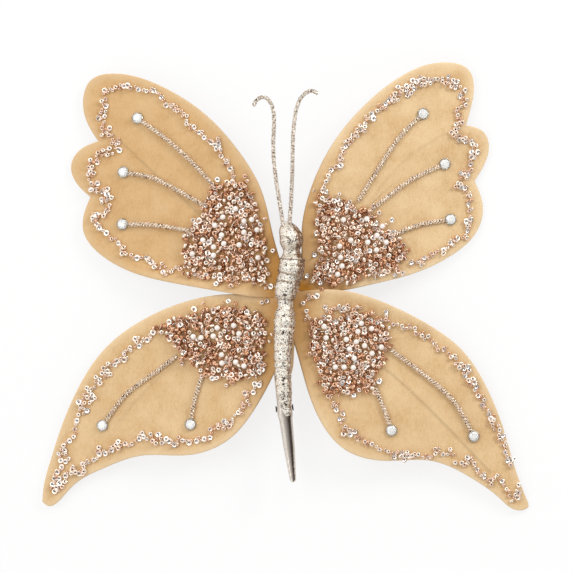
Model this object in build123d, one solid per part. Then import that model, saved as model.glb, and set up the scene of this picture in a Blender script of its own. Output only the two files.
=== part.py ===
from build123d import *
import math
import os

# A clip-on butterfly: four wired fabric wings, a wrapped foam body, two antennae and a spring clip.
# Millimetres. X points right, Y to the head and Z up from the table. The origin is on the table,
# under the middle of the whole object.

# Wings
wing_span = 182.6
fabric_thickness = 0.45
interlining_thickness = 0.7
wing_wire_diameter = 0.6
wire_slot_clearance = 0.05

# Line that each pair of wings bends about
spine_foot_x = 1.0
spine_lean = 3.2
hinge_offset = 4.0
hinge_gap = 0.35

# Trimmings
sequin_diameter = 2.2
sequin_hole_diameter = 0.7
sequin_cup_rise = 0.35
sequin_thickness = 0.2
sequin_tilt = 9.0
bead_diameter = 2.0
bead_hole_diameter = 0.6
pearl_diameter = 2.3
trim_spacing = 3.5
trim_seat = 0.05
border_sway = 0.9
gem_diameter = 4.3
gem_girdle_height = 0.6
gem_crown_height = 1.1
gem_table_diameter = 2.4
cord_diameter = 1.3
cord_end_gap = 0.1

# Body
sleeve_thickness = 0.4
wrap_clearance = 0.03
thread_diameter = 0.5
thread_clearance = 0.3
thread_turns = 2.5
thread_top_lift = 0.4
thread_slope_step = 0.02

# Antennae
antenna_wire_diameter = 0.7
antenna_wrap_thickness = 0.4
antenna_rise = 4.0
antenna_bore_clearance = 0.06

# Clip
clip_jaw_length = 28.0
clip_handle_length = 18.0
clip_height = 7.0
clip_tip_height = 2.4
clip_width = 5.8
clip_sheet = 0.5
clip_flare = 8.0
clip_lean = 6.8
clip_nest_clearance = 0.15
clip_ear_radius = 1.7
clip_flange_depth = 1.9
jaw_gap = 0.1
tooth_count = 8
tooth_depth = 0.6
pin_diameter = 1.6
pin_clearance = 0.05
pin_head_diameter = 2.4
pin_head_thickness = 0.4
spring_wire_diameter = 0.5
spring_pitch = 0.95
spring_seat = 0.12
spring_leg_length = 9.0
glue_thickness = 0.6
foot_clearance = 0.3
tooth_clearance = 0.3

# Counts that shape the parts
full_turn = 360
golden_turn = full_turn * (3 - math.sqrt(5)) / 2
wing_names = ("left_forewing", "right_forewing", "left_hindwing", "right_hindwing")

# Outlines seen from above, as shares of the wing span from the middle of the object.
# Each wing is a ring of smooth curves that meet in corners at root, notches and tip.
outline_shares = {
    "left_forewing": [
        [(0.000, -0.021), (-0.017, -0.020), (-0.093, -0.012), (-0.202, 0.003), (-0.299, 0.024),
         (-0.379, 0.065), (-0.416, 0.116), (-0.414, 0.151), (-0.401, 0.184)],
        [(-0.401, 0.184), (-0.430, 0.213), (-0.441, 0.249), (-0.426, 0.278), (-0.385, 0.299)],
        [(-0.385, 0.299), (-0.408, 0.338), (-0.416, 0.387), (-0.401, 0.424), (-0.346, 0.438),
         (-0.260, 0.414), (-0.163, 0.352), (-0.098, 0.280), (-0.050, 0.198), (-0.026, 0.106),
         (0.000, 0.020)],
    ],
    "right_forewing": [
        [(0.000, -0.009), (0.030, -0.009), (0.108, -0.009), (0.171, 0.003), (0.254, 0.024),
         (0.342, 0.065), (0.391, 0.110), (0.406, 0.163), (0.389, 0.217)],
        [(0.389, 0.217), (0.410, 0.254), (0.418, 0.289), (0.408, 0.317), (0.371, 0.332)],
        [(0.371, 0.332), (0.381, 0.369), (0.387, 0.412), (0.377, 0.445), (0.334, 0.461),
         (0.241, 0.434), (0.163, 0.373), (0.089, 0.280), (0.048, 0.188), (0.033, 0.106),
         (0.015, 0.020)],
    ],
    "left_hindwing": [
        [(0.000, -0.025), (-0.020, -0.024), (-0.093, -0.016), (-0.194, -0.028), (-0.293, -0.069),
         (-0.373, -0.130), (-0.428, -0.213), (-0.463, -0.295), (-0.484, -0.360), (-0.498, -0.418),
         (-0.500, -0.443)],
        [(-0.500, -0.443), (-0.490, -0.451), (-0.445, -0.418), (-0.381, -0.377), (-0.297, -0.348),
         (-0.198, -0.346), (-0.118, -0.315), (-0.065, -0.254), (-0.030, -0.192), (0.000, -0.130)],
    ],
    "right_hindwing": [
        [(0.000, -0.013), (0.024, -0.013), (0.108, -0.013), (0.180, -0.028), (0.276, -0.069),
         (0.362, -0.130), (0.416, -0.213), (0.449, -0.295), (0.473, -0.377), (0.496, -0.438)],
        [(0.496, -0.438), (0.500, -0.453), (0.484, -0.461), (0.443, -0.438), (0.387, -0.397),
         (0.297, -0.358), (0.204, -0.358), (0.124, -0.336), (0.061, -0.254), (0.028, -0.151),
         (0.000, -0.060)],
    ],
}

# Where each wing's wire crosses the bending line, and its route from there
wire_root_shares = {
    "left_forewing": 0.012,
    "right_forewing": 0.022,
    "left_hindwing": -0.050,
    "right_hindwing": -0.046,
}
wire_shares = {
    "left_forewing": [(-0.110, 0.090), (-0.268, 0.233), (-0.356, 0.317)],
    "right_forewing": [(0.110, 0.100), (0.255, 0.270), (0.338, 0.321)],
    "left_hindwing": [(-0.090, -0.095), (-0.196, -0.141), (-0.340, -0.275)],
    "right_hindwing": [(0.090, -0.090), (0.194, -0.161), (0.286, -0.243), (0.420, -0.381)],
}

# Rhinestones, and the cords that run from each of them to the beads near the body
gem_shares = {
    "left_forewing": [(-0.303, 0.346), (-0.332, 0.235), (-0.334, 0.128)],
    "right_forewing": [(0.281, 0.355), (0.326, 0.252), (0.338, 0.138)],
    "left_hindwing": [(-0.375, -0.286), (-0.194, -0.283)],
    "right_hindwing": [(0.216, -0.295), (0.386, -0.308)],
}
cord_shares = {
    "left_forewing": [
        [(-0.262, 0.317), (-0.206, 0.270), (-0.147, 0.208)],
        [(-0.278, 0.225), (-0.221, 0.198), (-0.167, 0.167)],
        [(-0.278, 0.127), (-0.196, 0.114)],
    ],
    "right_forewing": [
        [(0.239, 0.315), (0.196, 0.254), (0.147, 0.176)],
        [(0.266, 0.225), (0.210, 0.186), (0.169, 0.153)],
        [(0.286, 0.130), (0.215, 0.104)],
    ],
    "left_hindwing": [
        [(-0.323, -0.219), (-0.268, -0.178), (-0.223, -0.143)],
        [(-0.184, -0.229), (-0.171, -0.186)],
    ],
    "right_hindwing": [
        [(0.198, -0.245), (0.184, -0.208)],
        [(0.348, -0.241), (0.297, -0.192), (0.215, -0.130)],
    ],
}

# Trimmed border of each wing, from the inner leading end round to the inner trailing end
border_shares = {
    "left_forewing": [
        (-0.102, 0.223), (-0.145, 0.286), (-0.196, 0.332), (-0.258, 0.387), (-0.303, 0.408),
        (-0.348, 0.410), (-0.371, 0.393), (-0.379, 0.348), (-0.356, 0.299), (-0.385, 0.268),
        (-0.401, 0.239), (-0.389, 0.198), (-0.364, 0.178), (-0.393, 0.137), (-0.369, 0.106),
        (-0.315, 0.065), (-0.225, 0.028),
    ],
    "right_forewing": [
        (0.071, 0.188), (0.085, 0.223), (0.122, 0.280), (0.167, 0.340), (0.235, 0.408),
        (0.297, 0.426), (0.360, 0.412), (0.367, 0.375), (0.350, 0.323), (0.375, 0.295),
        (0.383, 0.256), (0.358, 0.206), (0.379, 0.167), (0.371, 0.112), (0.317, 0.073),
        (0.245, 0.050),
    ],
    "left_hindwing": [
        (-0.278, -0.093), (-0.330, -0.134), (-0.381, -0.192), (-0.412, -0.243), (-0.438, -0.315),
        (-0.463, -0.367), (-0.471, -0.418), (-0.418, -0.377), (-0.385, -0.346), (-0.319, -0.325),
        (-0.282, -0.307), (-0.206, -0.317), (-0.151, -0.311), (-0.083, -0.249), (-0.059, -0.188),
    ],
    "right_hindwing": [
        (0.204, -0.052), (0.276, -0.100), (0.364, -0.161), (0.408, -0.243), (0.438, -0.309),
        (0.467, -0.373), (0.477, -0.428), (0.434, -0.393), (0.389, -0.373), (0.328, -0.336),
        (0.245, -0.348), (0.159, -0.319), (0.122, -0.284), (0.087, -0.223),
    ],
}

# Outline of the close bead work near the body, and the pearls inside it
cluster_shares = {
    "left_forewing": [
        (-0.151, 0.210), (-0.083, 0.215), (-0.059, 0.167), (-0.042, 0.095), (-0.036, 0.034),
        (-0.040, 0.009), (-0.093, 0.007), (-0.196, 0.024), (-0.210, 0.065), (-0.204, 0.104),
        (-0.178, 0.132), (-0.165, 0.167),
    ],
    "right_forewing": [
        (0.065, 0.188), (0.112, 0.180), (0.169, 0.153), (0.202, 0.124), (0.245, 0.079),
        (0.245, 0.059), (0.227, 0.034), (0.184, 0.022), (0.102, 0.003), (0.056, 0.009),
        (0.067, 0.065), (0.061, 0.157),
    ],
    "left_hindwing": [
        (-0.268, -0.083), (-0.176, -0.052), (-0.134, -0.040), (-0.083, -0.046), (-0.042, -0.059),
        (-0.040, -0.130), (-0.044, -0.176), (-0.093, -0.192), (-0.165, -0.184), (-0.206, -0.149),
        (-0.233, -0.114),
    ],
    "right_hindwing": [
        (0.044, -0.028), (0.061, -0.022), (0.163, -0.038), (0.219, -0.100), (0.210, -0.130),
        (0.186, -0.176), (0.180, -0.208), (0.132, -0.217), (0.081, -0.217), (0.048, -0.120),
    ],
}
pearl_shares = {
    "left_forewing": [
        (-0.100, 0.159), (-0.126, 0.142), (-0.143, 0.125), (-0.083, 0.134), (-0.067, 0.137),
        (-0.083, 0.111), (-0.128, 0.105), (-0.124, 0.088), (-0.167, 0.095), (-0.093, 0.085),
        (-0.145, 0.081), (-0.189, 0.067), (-0.145, 0.064), (-0.054, 0.059), (-0.056, 0.116),
    ],
    "right_forewing": [
        (0.116, 0.137), (0.164, 0.139), (0.196, 0.124), (0.108, 0.083), (0.131, 0.095),
        (0.166, 0.091), (0.185, 0.105), (0.204, 0.091), (0.184, 0.075), (0.110, 0.060),
        (0.113, 0.042), (0.104, 0.025),
    ],
    "left_hindwing": [
        (-0.138, -0.085), (-0.104, -0.080), (-0.187, -0.103), (-0.171, -0.105), (-0.146, -0.102),
        (-0.093, -0.097), (-0.129, -0.140), (-0.128, -0.157), (-0.100, -0.155), (-0.083, -0.163),
    ],
    "right_hindwing": [
        (0.153, -0.075), (0.174, -0.086), (0.146, -0.092), (0.081, -0.105), (0.077, -0.082),
        (0.122, -0.109), (0.143, -0.113), (0.160, -0.121), (0.129, -0.128), (0.175, -0.137),
        (0.194, -0.124), (0.139, -0.147), (0.100, -0.165), (0.118, -0.165), (0.137, -0.166),
    ],
}

# Body from head to tail: across, along and radius
body_shares = [
    (0.003, 0.130, 0.006), (0.006, 0.124, 0.013), (0.008, 0.116, 0.0195), (0.012, 0.100, 0.024),
    (0.012, 0.085, 0.022), (0.0125, 0.073, 0.017), (0.0135, 0.0585, 0.0235), (0.013, 0.042, 0.0265),
    (0.010, 0.0215, 0.026), (0.004, 0.003, 0.0255), (0.001, -0.0135, 0.023), (0.000, -0.034, 0.0155),
    (-0.001, -0.0525, 0.0195), (-0.002, -0.079, 0.0215), (-0.005, -0.120, 0.0185),
    (-0.0055, -0.1405, 0.018), (-0.005, -0.182, 0.016), (-0.002, -0.223, 0.014),
    (0.0005, -0.243, 0.0115), (0.003, -0.258, 0.008), (0.005, -0.266, 0.0035),
]
thread_start_share = 0.060
thread_end_share = 0.010
strip_front_share = 0.052
strip_back_share = -0.165
strip_tail_share = -0.256
strip_tail_width_share = 0.7

# Antennae, from inside the head to the curled tip, and how far along the head ends
antenna_shares = {
    "left": [(-0.003, 0.112), (-0.020, 0.204), (-0.026, 0.280), (-0.023, 0.358), (-0.036, 0.385),
             (-0.056, 0.381), (-0.066, 0.369)],
    "right": [(0.007, 0.112), (0.013, 0.198), (0.0135, 0.280), (0.021, 0.358), (0.036, 0.393),
              (0.054, 0.399), (0.066, 0.393)],
}
head_end_share = 0.1325
antenna_root_share = 1.2

# Largest part of the shorter run beside a corner that the corner's arc takes up
bend_reach_share = 0.45

# Clip: half widths along jaw and handle, as shares of its length on that side and of its width
clip_plan_shares = [(1.00, 0.42), (0.12, 0.50), (-0.11, 0.50), (-0.23, 0.42), (-0.53, 0.36), (-0.83, 0.23),
                    (-1.00, 0.13)]
clip_pivot_share = -0.250
clip_pivot_across_share = -0.002
tooth_span_share = 0.68

# Values worked out from the above
wing_thickness = interlining_thickness + 2 * fabric_thickness
trim_width = max(sequin_diameter, bead_diameter, pearl_diameter)
clip_drop = (
    clip_handle_length * math.sin(math.radians(clip_flare))
    + (clip_height / 2 + clip_handle_length * math.tan(math.radians(clip_flare)))
    * math.cos(math.radians(clip_flare))
)
clip_rise = clip_height / 2 * math.cos(math.radians(clip_flare))
pivot_height = foot_clearance + clip_drop
hinge_height = pivot_height + clip_rise + glue_thickness + wing_thickness / 2
body_floor = hinge_height + wing_thickness / 2 + thread_diameter + 2 * thread_clearance
antenna_wrap_diameter = antenna_wire_diameter + 2 * (antenna_wrap_thickness + wrap_clearance)


def save(name, shape):
    """Write one node's solids."""
    export_step(shape, os.path.join("parts", name + ".step"))


def distance(a, b):
    return math.hypot(b[0] - a[0], b[1] - a[1])


def side_of(name):
    """-1 for a left piece and 1 for a right one."""
    return -1 if name.startswith("left") else 1


def from_hinge(side, share):
    """A place seen from above, as the distance out from the bending line and along it."""
    x = share[0] * wing_span - spine_foot_x
    y = share[1] * wing_span
    lean = math.radians(spine_lean)
    across = x * math.cos(lean) - y * math.sin(lean)
    along = x * math.sin(lean) + y * math.cos(lean)
    return across - side * hinge_offset, along


def wing_droop(name):
    """How far the wing hangs down, in degrees, so that its outermost lobe rests on the table."""
    side = side_of(name)
    points = [point for curve in outline_shares[name] for point in curve]
    reach = max(side * from_hinge(side, point)[0] for point in points)
    return math.degrees(math.atan((hinge_height - wing_thickness / 2) / reach))


def laid(name, share):
    """A place seen from above, as a point of the wing laid flat."""
    out, along = from_hinge(side_of(name), share)
    return out / math.cos(math.radians(wing_droop(name))), along


def hung(name):
    """The place of a wing that was made flat, with its bending line on the Y axis."""
    side = side_of(name)
    spine = Pos(spine_foot_x, 0, 0) * Rot(0, 0, -spine_lean)
    return spine * Pos(side * hinge_offset, 0, hinge_height) * Rot(0, side * wing_droop(name), 0)


def wing_face(name):
    """Outline of a wing laid flat, cut off square beside its bending line."""
    curves = []
    for curve in outline_shares[name]:
        curves.append(Spline([laid(name, share) for share in curve]))
    curves.append(Line(curves[-1] @ 1, curves[0] @ 0))
    side = side_of(name)
    beyond = Pos(side * (hinge_gap + wing_span / 2), 0) * Rectangle(wing_span, 2 * wing_span)
    return make_face(curves) & beyond


def rounded_route(points):
    """A route of straight runs joined by the largest arcs that its runs allow."""
    if len(points) == 2:
        return Line(*points)
    radii = []
    for before, corner, after in zip(points, points[1:], points[2:]):
        arriving = Vector(*corner) - Vector(*before)
        leaving = Vector(*after) - Vector(*corner)
        turn = math.radians(arriving.get_angle(leaving))
        shorter = min(arriving.length, leaving.length)
        radii.append(bend_reach_share * shorter / math.tan(turn / 2))
    return FilletPolyline(*points, radius=radii)


def tube(path, diameter):
    """A round bar along a path."""
    return sweep(Plane(origin=path @ 0, z_dir=path % 0) * Circle(diameter / 2), path=path)


def wing_wire_route(name):
    """Route of the wing's wire, from just outside the bending line."""
    start = (side_of(name) * (hinge_gap + wing_wire_diameter), wire_root_shares[name] * wing_span)
    return rounded_route([start] + [laid(name, share) for share in wire_shares[name]])


def wing_layers(name):
    """Back fabric, interlining with a slot for the wire, front fabric and the wire."""
    face = wing_face(name)
    low = -wing_thickness / 2
    back = extrude(Pos(0, 0, low) * face, amount=fabric_thickness)
    middle = extrude(Pos(0, 0, low + fabric_thickness) * face, amount=interlining_thickness)
    front = extrude(Pos(0, 0, low + fabric_thickness + interlining_thickness) * face, amount=fabric_thickness)
    route = wing_wire_route(name)
    slot_width = wing_wire_diameter + 2 * wire_slot_clearance
    tangent = route % 0
    across = Vector(-tangent.Y, tangent.X, 0)
    mouth = Plane(origin=route @ 0 - tangent * wing_wire_diameter, x_dir=across, z_dir=tangent)
    section = Plane(origin=route @ 0, x_dir=across, z_dir=tangent) * Rectangle(slot_width, wing_thickness)
    slot = sweep(section, path=route)
    slot += extrude(mouth * Rectangle(slot_width, wing_thickness), amount=wing_wire_diameter)
    end = Pos(*(route @ 1)) * Cylinder(slot_width / 2, wing_thickness)
    return back, middle - slot - end, front, tube(route, wing_wire_diameter)


def cord_route(name, index):
    """Route of a vein's cord, from the rim of its rhinestone."""
    points = [laid(name, share) for share in cord_shares[name][index]]
    gem = laid(name, gem_shares[name][index])
    step = (gem_diameter / 2 + cord_end_gap) / distance(gem, points[0])
    start = (gem[0] + step * (points[0][0] - gem[0]), gem[1] + step * (points[0][1] - gem[1]))
    return [start] + points


def cords(name):
    """Glitter cords of one wing, lying on the front fabric."""
    height = wing_thickness / 2 + cord_diameter / 2 + trim_seat
    return [
        Pos(0, 0, height) * tube(rounded_route(cord_route(name, index)), cord_diameter)
        for index in range(len(cord_shares[name]))
    ]


def gems(name):
    """Rhinestones of one wing: an eight-sided girdle under a sloping crown."""
    low = wing_thickness / 2 + trim_seat
    solids = []
    for share in gem_shares[name]:
        base = RegularPolygon(gem_diameter / 2, 8)
        girdle = extrude(base, amount=gem_girdle_height)
        table = Pos(0, 0, gem_girdle_height + gem_crown_height) * RegularPolygon(gem_table_diameter / 2, 8)
        crown = loft([Pos(0, 0, gem_girdle_height) * base, table], ruled=True)
        solids.append(Pos(*laid(name, share), low) * (girdle + crown))
    return solids


def on_polyline(points, travelled):
    """The point and direction at a distance along straight runs."""
    for start, end in zip(points, points[1:]):
        run = distance(start, end)
        if travelled <= run:
            break
        travelled -= run
    direction = ((end[0] - start[0]) / run, (end[1] - start[1]) / run)
    return (start[0] + direction[0] * travelled, start[1] + direction[1] * travelled), direction


def border_places(name):
    """A wavering file of places along the border, with a second file inside it in clumps."""
    side = side_of(name)
    points = [laid(name, share) for share in border_shares[name]]
    length = sum(distance(a, b) for a, b in zip(points, points[1:]))
    count = int(length / trim_spacing)
    places = []
    for index in range(count):
        (x, y), (dx, dy) = on_polyline(points, (index + 0.5) * length / count)
        phase = math.radians(index * golden_turn)
        rows = [border_sway * math.sin(phase)]
        if math.cos(2 * phase) > 0:
            rows.append(rows[0] + trim_spacing)
        places += [(x + side * dy * row, y - side * dx * row) for row in rows]
    return places


def inside(point, ring):
    """Whether a point lies inside a closed ring of points."""
    hit = False
    for (ax, ay), (bx, by) in zip(ring, ring[1:] + ring[:1]):
        if (ay > point[1]) != (by > point[1]) and point[0] < ax + (point[1] - ay) * (bx - ax) / (by - ay):
            hit = not hit
    return hit


def cluster_places(name):
    """Places in staggered rows that fill the close bead work."""
    ring = [laid(name, share) for share in cluster_shares[name]]
    row_pitch = trim_spacing * math.sqrt(3) / 2
    low_x = min(x for x, y in ring)
    low_y = min(y for x, y in ring)
    columns = math.ceil((max(x for x, y in ring) - low_x) / trim_spacing)
    rows = math.ceil((max(y for x, y in ring) - low_y) / row_pitch)
    places = []
    for row in range(rows + 1):
        for column in range(columns + 1):
            place = (low_x + (column + row % 2 / 2) * trim_spacing, low_y + row * row_pitch)
            if inside(place, ring):
                places.append(place)
    return places


def to_segment(point, start, end):
    """Distance from a point to a straight run."""
    length = distance(start, end)
    run = (end[0] - start[0], end[1] - start[1])
    along = ((point[0] - start[0]) * run[0] + (point[1] - start[1]) * run[1]) / length
    along = min(max(along, 0), length) / length
    return distance(point, (start[0] + along * run[0], start[1] + along * run[1]))


def trim_places(name):
    """Where sequins, beads and pearls lie, none of them on another or on a cord or rhinestone."""
    gem_places = [laid(name, share) for share in gem_shares[name]]
    routes = [cord_route(name, index) for index in range(len(cord_shares[name]))]
    runs = [run for route in routes for run in zip(route, route[1:])]
    pearls = [laid(name, share) for share in pearl_shares[name]]
    kept = {"sequins": [], "beads": [], "pearls": []}
    taken = []
    candidates = [("pearls", place) for place in pearls]
    candidates += [("others", place) for place in cluster_places(name) + border_places(name)]
    for kind, place in candidates:
        if any(distance(place, other) < trim_width + 2 * trim_seat for other in taken):
            continue
        if any(distance(place, gem) < (gem_diameter + trim_width) / 2 + trim_seat for gem in gem_places):
            continue
        if any(to_segment(place, *run) < (cord_diameter + trim_width) / 2 + trim_seat for run in runs):
            continue
        if kind == "others":
            kind = "beads" if math.sin(math.radians(len(taken) * golden_turn)) > 0.2 else "sequins"
        taken.append(place)
        kept[kind].append(place)
    return kept


def sequin():
    """A cupped disc with a hole, its lowest edge at the hole."""
    hole = sequin_hole_diameter / 2
    rim = sequin_diameter / 2
    rim_top = sequin_cup_rise + sequin_thickness
    profile = Polygon((hole, 0), (rim, sequin_cup_rise), (rim, rim_top), (hole, sequin_thickness), align=None)
    return revolve(Plane.XZ * profile, Axis.Z)


def trims(name):
    """Sequins, seed beads and pearls of one wing, seated on the front fabric."""
    low = wing_thickness / 2 + trim_seat
    places = trim_places(name)
    cup = sequin()
    lift = sequin_hole_diameter / 2 * math.sin(math.radians(sequin_tilt))
    wall = (bead_diameter - bead_hole_diameter) / 4
    ring = Torus(bead_diameter / 2 - wall, wall)
    ball = Sphere(pearl_diameter / 2)
    solids = {"sequins": [], "beads": [], "pearls": []}
    for index, (x, y) in enumerate(places["sequins"]):
        lean = Rot(0, 0, index * golden_turn) * Rot(sequin_tilt * math.sin(index), 0, 0)
        solids["sequins"].append(Pos(x, y, low + lift) * lean * cup)
    for x, y in places["beads"]:
        solids["beads"].append(Pos(x, y, low + wall) * ring)
    for x, y in places["pearls"]:
        solids["pearls"].append(Pos(x, y, low + pearl_diameter / 2) * ball)
    return solids


def build_wing(name):
    """All nodes of one wing, made flat and hung at its place."""
    place = hung(name)
    back, middle, front, wire = wing_layers(name)
    save(name + "_back_fabric", place * back)
    save(name + "_interlining", place * middle)
    save(name + "_front_fabric", place * front)
    save(name + "_wire", place * wire)
    groups = trims(name)
    groups["veins"] = cords(name)
    groups["gems"] = gems(name)
    for kind, solids in groups.items():
        save(name + "_" + kind, Compound([place * solid for solid in solids]))
        print(name, kind, len(solids))
    print(name, "droop", round(wing_droop(name), 2))


def body_ring(x, y, z, radius):
    """A round section across the body, in four equal arcs."""
    arcs = [CenterArc((0, 0, 0), radius, quarter * full_turn / 4, full_turn / 4) for quarter in range(4)]
    return Plane(origin=(x, y, z), x_dir=(1, 0, 0), z_dir=(0, -1, 0)) * make_face(arcs)


def body_solid(inset):
    """The body's form, drawn in all round by an inset, with its underside on one level."""
    rings = []
    for across, along, radius in body_shares:
        full = radius * wing_span
        if full - inset > inset:
            height = body_floor + full
            rings.append(body_ring(across * wing_span, along * wing_span, height, full - inset))
    return loft(rings)


def body_at(y):
    """Middle and radius of the body at a place along it."""
    rows = [(row[0] * wing_span, row[1] * wing_span, row[2] * wing_span) for row in body_shares]
    for front, back in zip(rows, rows[1:]):
        if back[1] <= y <= front[1]:
            share = (front[1] - y) / (front[1] - back[1])
            return [front[item] + share * (back[item] - front[item]) for item in (0, 2)]
    raise ValueError("beyond the ends of the body")


def biarcs(points, directions):
    """A smooth path of two arcs between each point and the next, along the given directions."""
    edges = []
    for start, end, leave, arrive in zip(points, points[1:], directions, directions[1:]):
        chord = end - start
        square = 2 * (1 - leave.dot(arrive))
        linear = 2 * chord.dot(leave + arrive)
        arm = (math.sqrt(linear * linear + 4 * square * chord.dot(chord)) - linear) / (2 * square)
        near = start + leave * arm
        far = end - arrive * arm
        middle = (near + far) * 0.5
        edges.append(TangentArc(start, middle, tangent=leave))
        edges.append(TangentArc(middle, end, tangent=(far - near).normalized()))
    return edges


def least_gap(path, diameter, turn_length):
    """Least gap between turns of a wound tube, measured on points along it."""
    count = 300
    points = [path @ (index / count) for index in range(count + 1)]
    apart = math.ceil(count * turn_length / path.length / 2)
    least = min(
        (points[later] - points[first]).length
        for first in range(count + 1)
        for later in range(first + apart, count + 1)
    )
    return least - diameter


def binding_thread():
    """Thread wound round neck and thorax, starting and ending under the body."""
    start_y = thread_start_share * wing_span
    end_y = thread_end_share * wing_span
    quarters = round(thread_turns * 4)

    def place(quarter):
        y = start_y + (end_y - start_y) * quarter / quarters
        x, radius = body_at(y)
        angle = math.radians(quarter * full_turn / 4)
        lift = thread_top_lift * (1 - math.cos(angle)) / 2
        reach = radius + thread_clearance + thread_diameter / 2 + lift
        return Vector(x - reach * math.sin(angle), y, body_floor + radius - reach * math.cos(angle))

    step = thread_slope_step
    points = [place(quarter) for quarter in range(quarters + 1)]
    directions = [
        (place(min(quarter + step, quarters)) - place(max(quarter - step, 0))).normalized()
        for quarter in range(quarters + 1)
    ]
    edges = biarcs(points, directions)
    edges.insert(0, Line(points[0] - directions[0] * thread_diameter, points[0]))
    edges.append(Line(points[-1], points[-1] + directions[-1] * thread_diameter))
    path = Wire(edges)
    turn_length = path.length / thread_turns
    print("binding thread, least gap", round(least_gap(path, thread_diameter, turn_length), 2))
    return tube(path, thread_diameter)


def antenna_route(side):
    """Route of an antenna in a plane that rises from the head."""
    route_shares = antenna_shares[side]
    start_y = route_shares[0][1] * wing_span
    radius = body_at(start_y)[1]
    plane = Plane(
        origin=(0, start_y, body_floor + antenna_root_share * radius), x_dir=(1, 0, 0),
        z_dir=(0, -math.sin(math.radians(antenna_rise)), math.cos(math.radians(antenna_rise))),
    )
    points = []
    for across, along in route_shares:
        stretched = (along * wing_span - start_y) / math.cos(math.radians(antenna_rise))
        points.append((across * wing_span, stretched))
    return plane * rounded_route(points)


def antenna_wrap(route):
    """Glitter wrap round an antenna's wire, from the head to the tip."""
    outer = tube(route, antenna_wrap_diameter)
    bore = tube(route, antenna_wire_diameter + 2 * wrap_clearance)
    head_end = head_end_share * wing_span
    head = Pos(0, head_end - wing_span / 2, body_floor) * Box(wing_span, wing_span, wing_span)
    return outer - bore - head


def belly_strip():
    """Felt strip under the body, between the bending lines and back to the tail."""
    front = strip_front_share * wing_span
    back = strip_back_share * wing_span
    width = 2 * (hinge_offset - hinge_gap)
    spine = Pos(spine_foot_x, 0) * Rot(0, 0, -spine_lean)
    root = spine * Pos(0, (front + back) / 2) * Rectangle(width, front - back)
    edge = []
    ends = (strip_back_share, (strip_back_share + strip_tail_share) / 2, strip_tail_share)
    for along in ends:
        x, radius = body_at(along * wing_span)
        edge.append((x, along * wing_span, radius * strip_tail_width_share))
    left = [(x - half, y) for x, y, half in edge]
    right = [(x + half, y) for x, y, half in reversed(edge)]
    lead = (left[0][0], back + width / 2)
    ring = [lead] + left + right + [(right[-1][0], back + width / 2)]
    tail = make_face(Polyline(*ring, close=True))
    strip = extrude(Pos(0, 0, hinge_height - wing_thickness / 2) * (root + tail), amount=wing_thickness)
    return strip


def wire_tails():
    """Short ends of the four wing wires inside the belly strip, and the bores that they lie in."""
    tails = []
    bores = []
    length = hinge_offset - hinge_gap - wing_wire_diameter
    spine = Pos(spine_foot_x, 0, hinge_height) * Rot(0, 0, -spine_lean)
    for name in wing_names:
        middle = side_of(name) * (hinge_offset - hinge_gap - length / 2)
        place = spine * Pos(middle, wire_root_shares[name] * wing_span, 0) * Rot(0, full_turn / 4, 0)
        tails.append(place * Cylinder(wing_wire_diameter / 2, length))
        bore_radius = wing_wire_diameter / 2 + wire_slot_clearance
        bores.append(place * Cylinder(bore_radius, length + 2 * wire_slot_clearance))
    return tails, bores


def clip_point(along):
    """A share along the clip's plan as a length: handle ahead of the pivot, jaw behind it."""
    return along * (clip_handle_length if along > 0 else clip_jaw_length)


def clip_prism(widths):
    """A tall prism over the clip's plan, from places along it and half widths there."""
    ring = [(half, along) for along, half in widths] + [(-half, along) for along, half in reversed(widths)]
    return extrude(make_face(Polyline(*ring, close=True)), amount=clip_height + clip_drop, both=True)


def clip_side(ring):
    """A prism across the clip's whole width over a ring of points seen from the side."""
    profile = make_face(Polyline(*ring, close=True))
    return extrude(Plane.YZ * profile, amount=clip_width, both=True)


def clip_half(ear_width):
    """Upper half of the clip, closed, with its pivot on the X axis: a channel with ears and teeth."""
    slope = math.tan(math.radians(clip_flare))
    top = clip_height / 2
    handle_top = top + clip_handle_length * slope
    tip_top = clip_tip_height / 2
    neck = clip_ear_radius + clip_sheet
    neck_end = neck + clip_sheet + clip_nest_clearance
    widths = [(clip_point(along), half * clip_width) for along, half in clip_plan_shares]
    if ear_width < clip_width:
        handle_side = [row for row in widths if row[0] > neck_end]
        jaw_side = [row for row in widths if row[0] < -neck_end]
        full = clip_width / 2
        slim = ear_width / 2
        waist = [(neck_end, full), (neck, slim), (-neck, slim), (-neck_end, full)]
        widths = handle_side + waist + jaw_side
    outer_side = [
        (clip_handle_length, handle_top), (0, top), (-clip_jaw_length, tip_top),
        (-clip_jaw_length, jaw_gap / 2), (-clip_ear_radius, jaw_gap / 2), (clip_ear_radius, jaw_gap / 2),
        (neck_end, top - clip_flange_depth),
        (clip_handle_length, handle_top - clip_flange_depth),
    ]
    ear = extrude(Plane.YZ * Circle(clip_ear_radius), amount=ear_width / 2, both=True)
    outer = clip_prism(widths) & clip_side(outer_side)
    inner_widths = [(along, half - clip_sheet) for along, half in widths]
    inner_widths[0] = (clip_handle_length + clip_sheet, inner_widths[0][1])
    tip_wall = (1 - 2 * clip_sheet / clip_jaw_length)
    inner_widths[-1] = (-clip_jaw_length * tip_wall, max(inner_widths[-1][1], clip_sheet / 4))
    inner_side = [
        (clip_handle_length + clip_sheet, handle_top + clip_sheet * slope - clip_sheet),
        (0, top - clip_sheet), (-clip_jaw_length, tip_top - clip_sheet), (-clip_jaw_length, -clip_height),
        (clip_handle_length + clip_sheet, -clip_height),
    ]
    hollow = clip_prism(inner_widths) & clip_side(inner_side)
    bore = extrude(Plane.YZ * Circle(pin_diameter / 2 + pin_clearance), amount=clip_width, both=True)
    return outer + ear - hollow - bore


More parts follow.
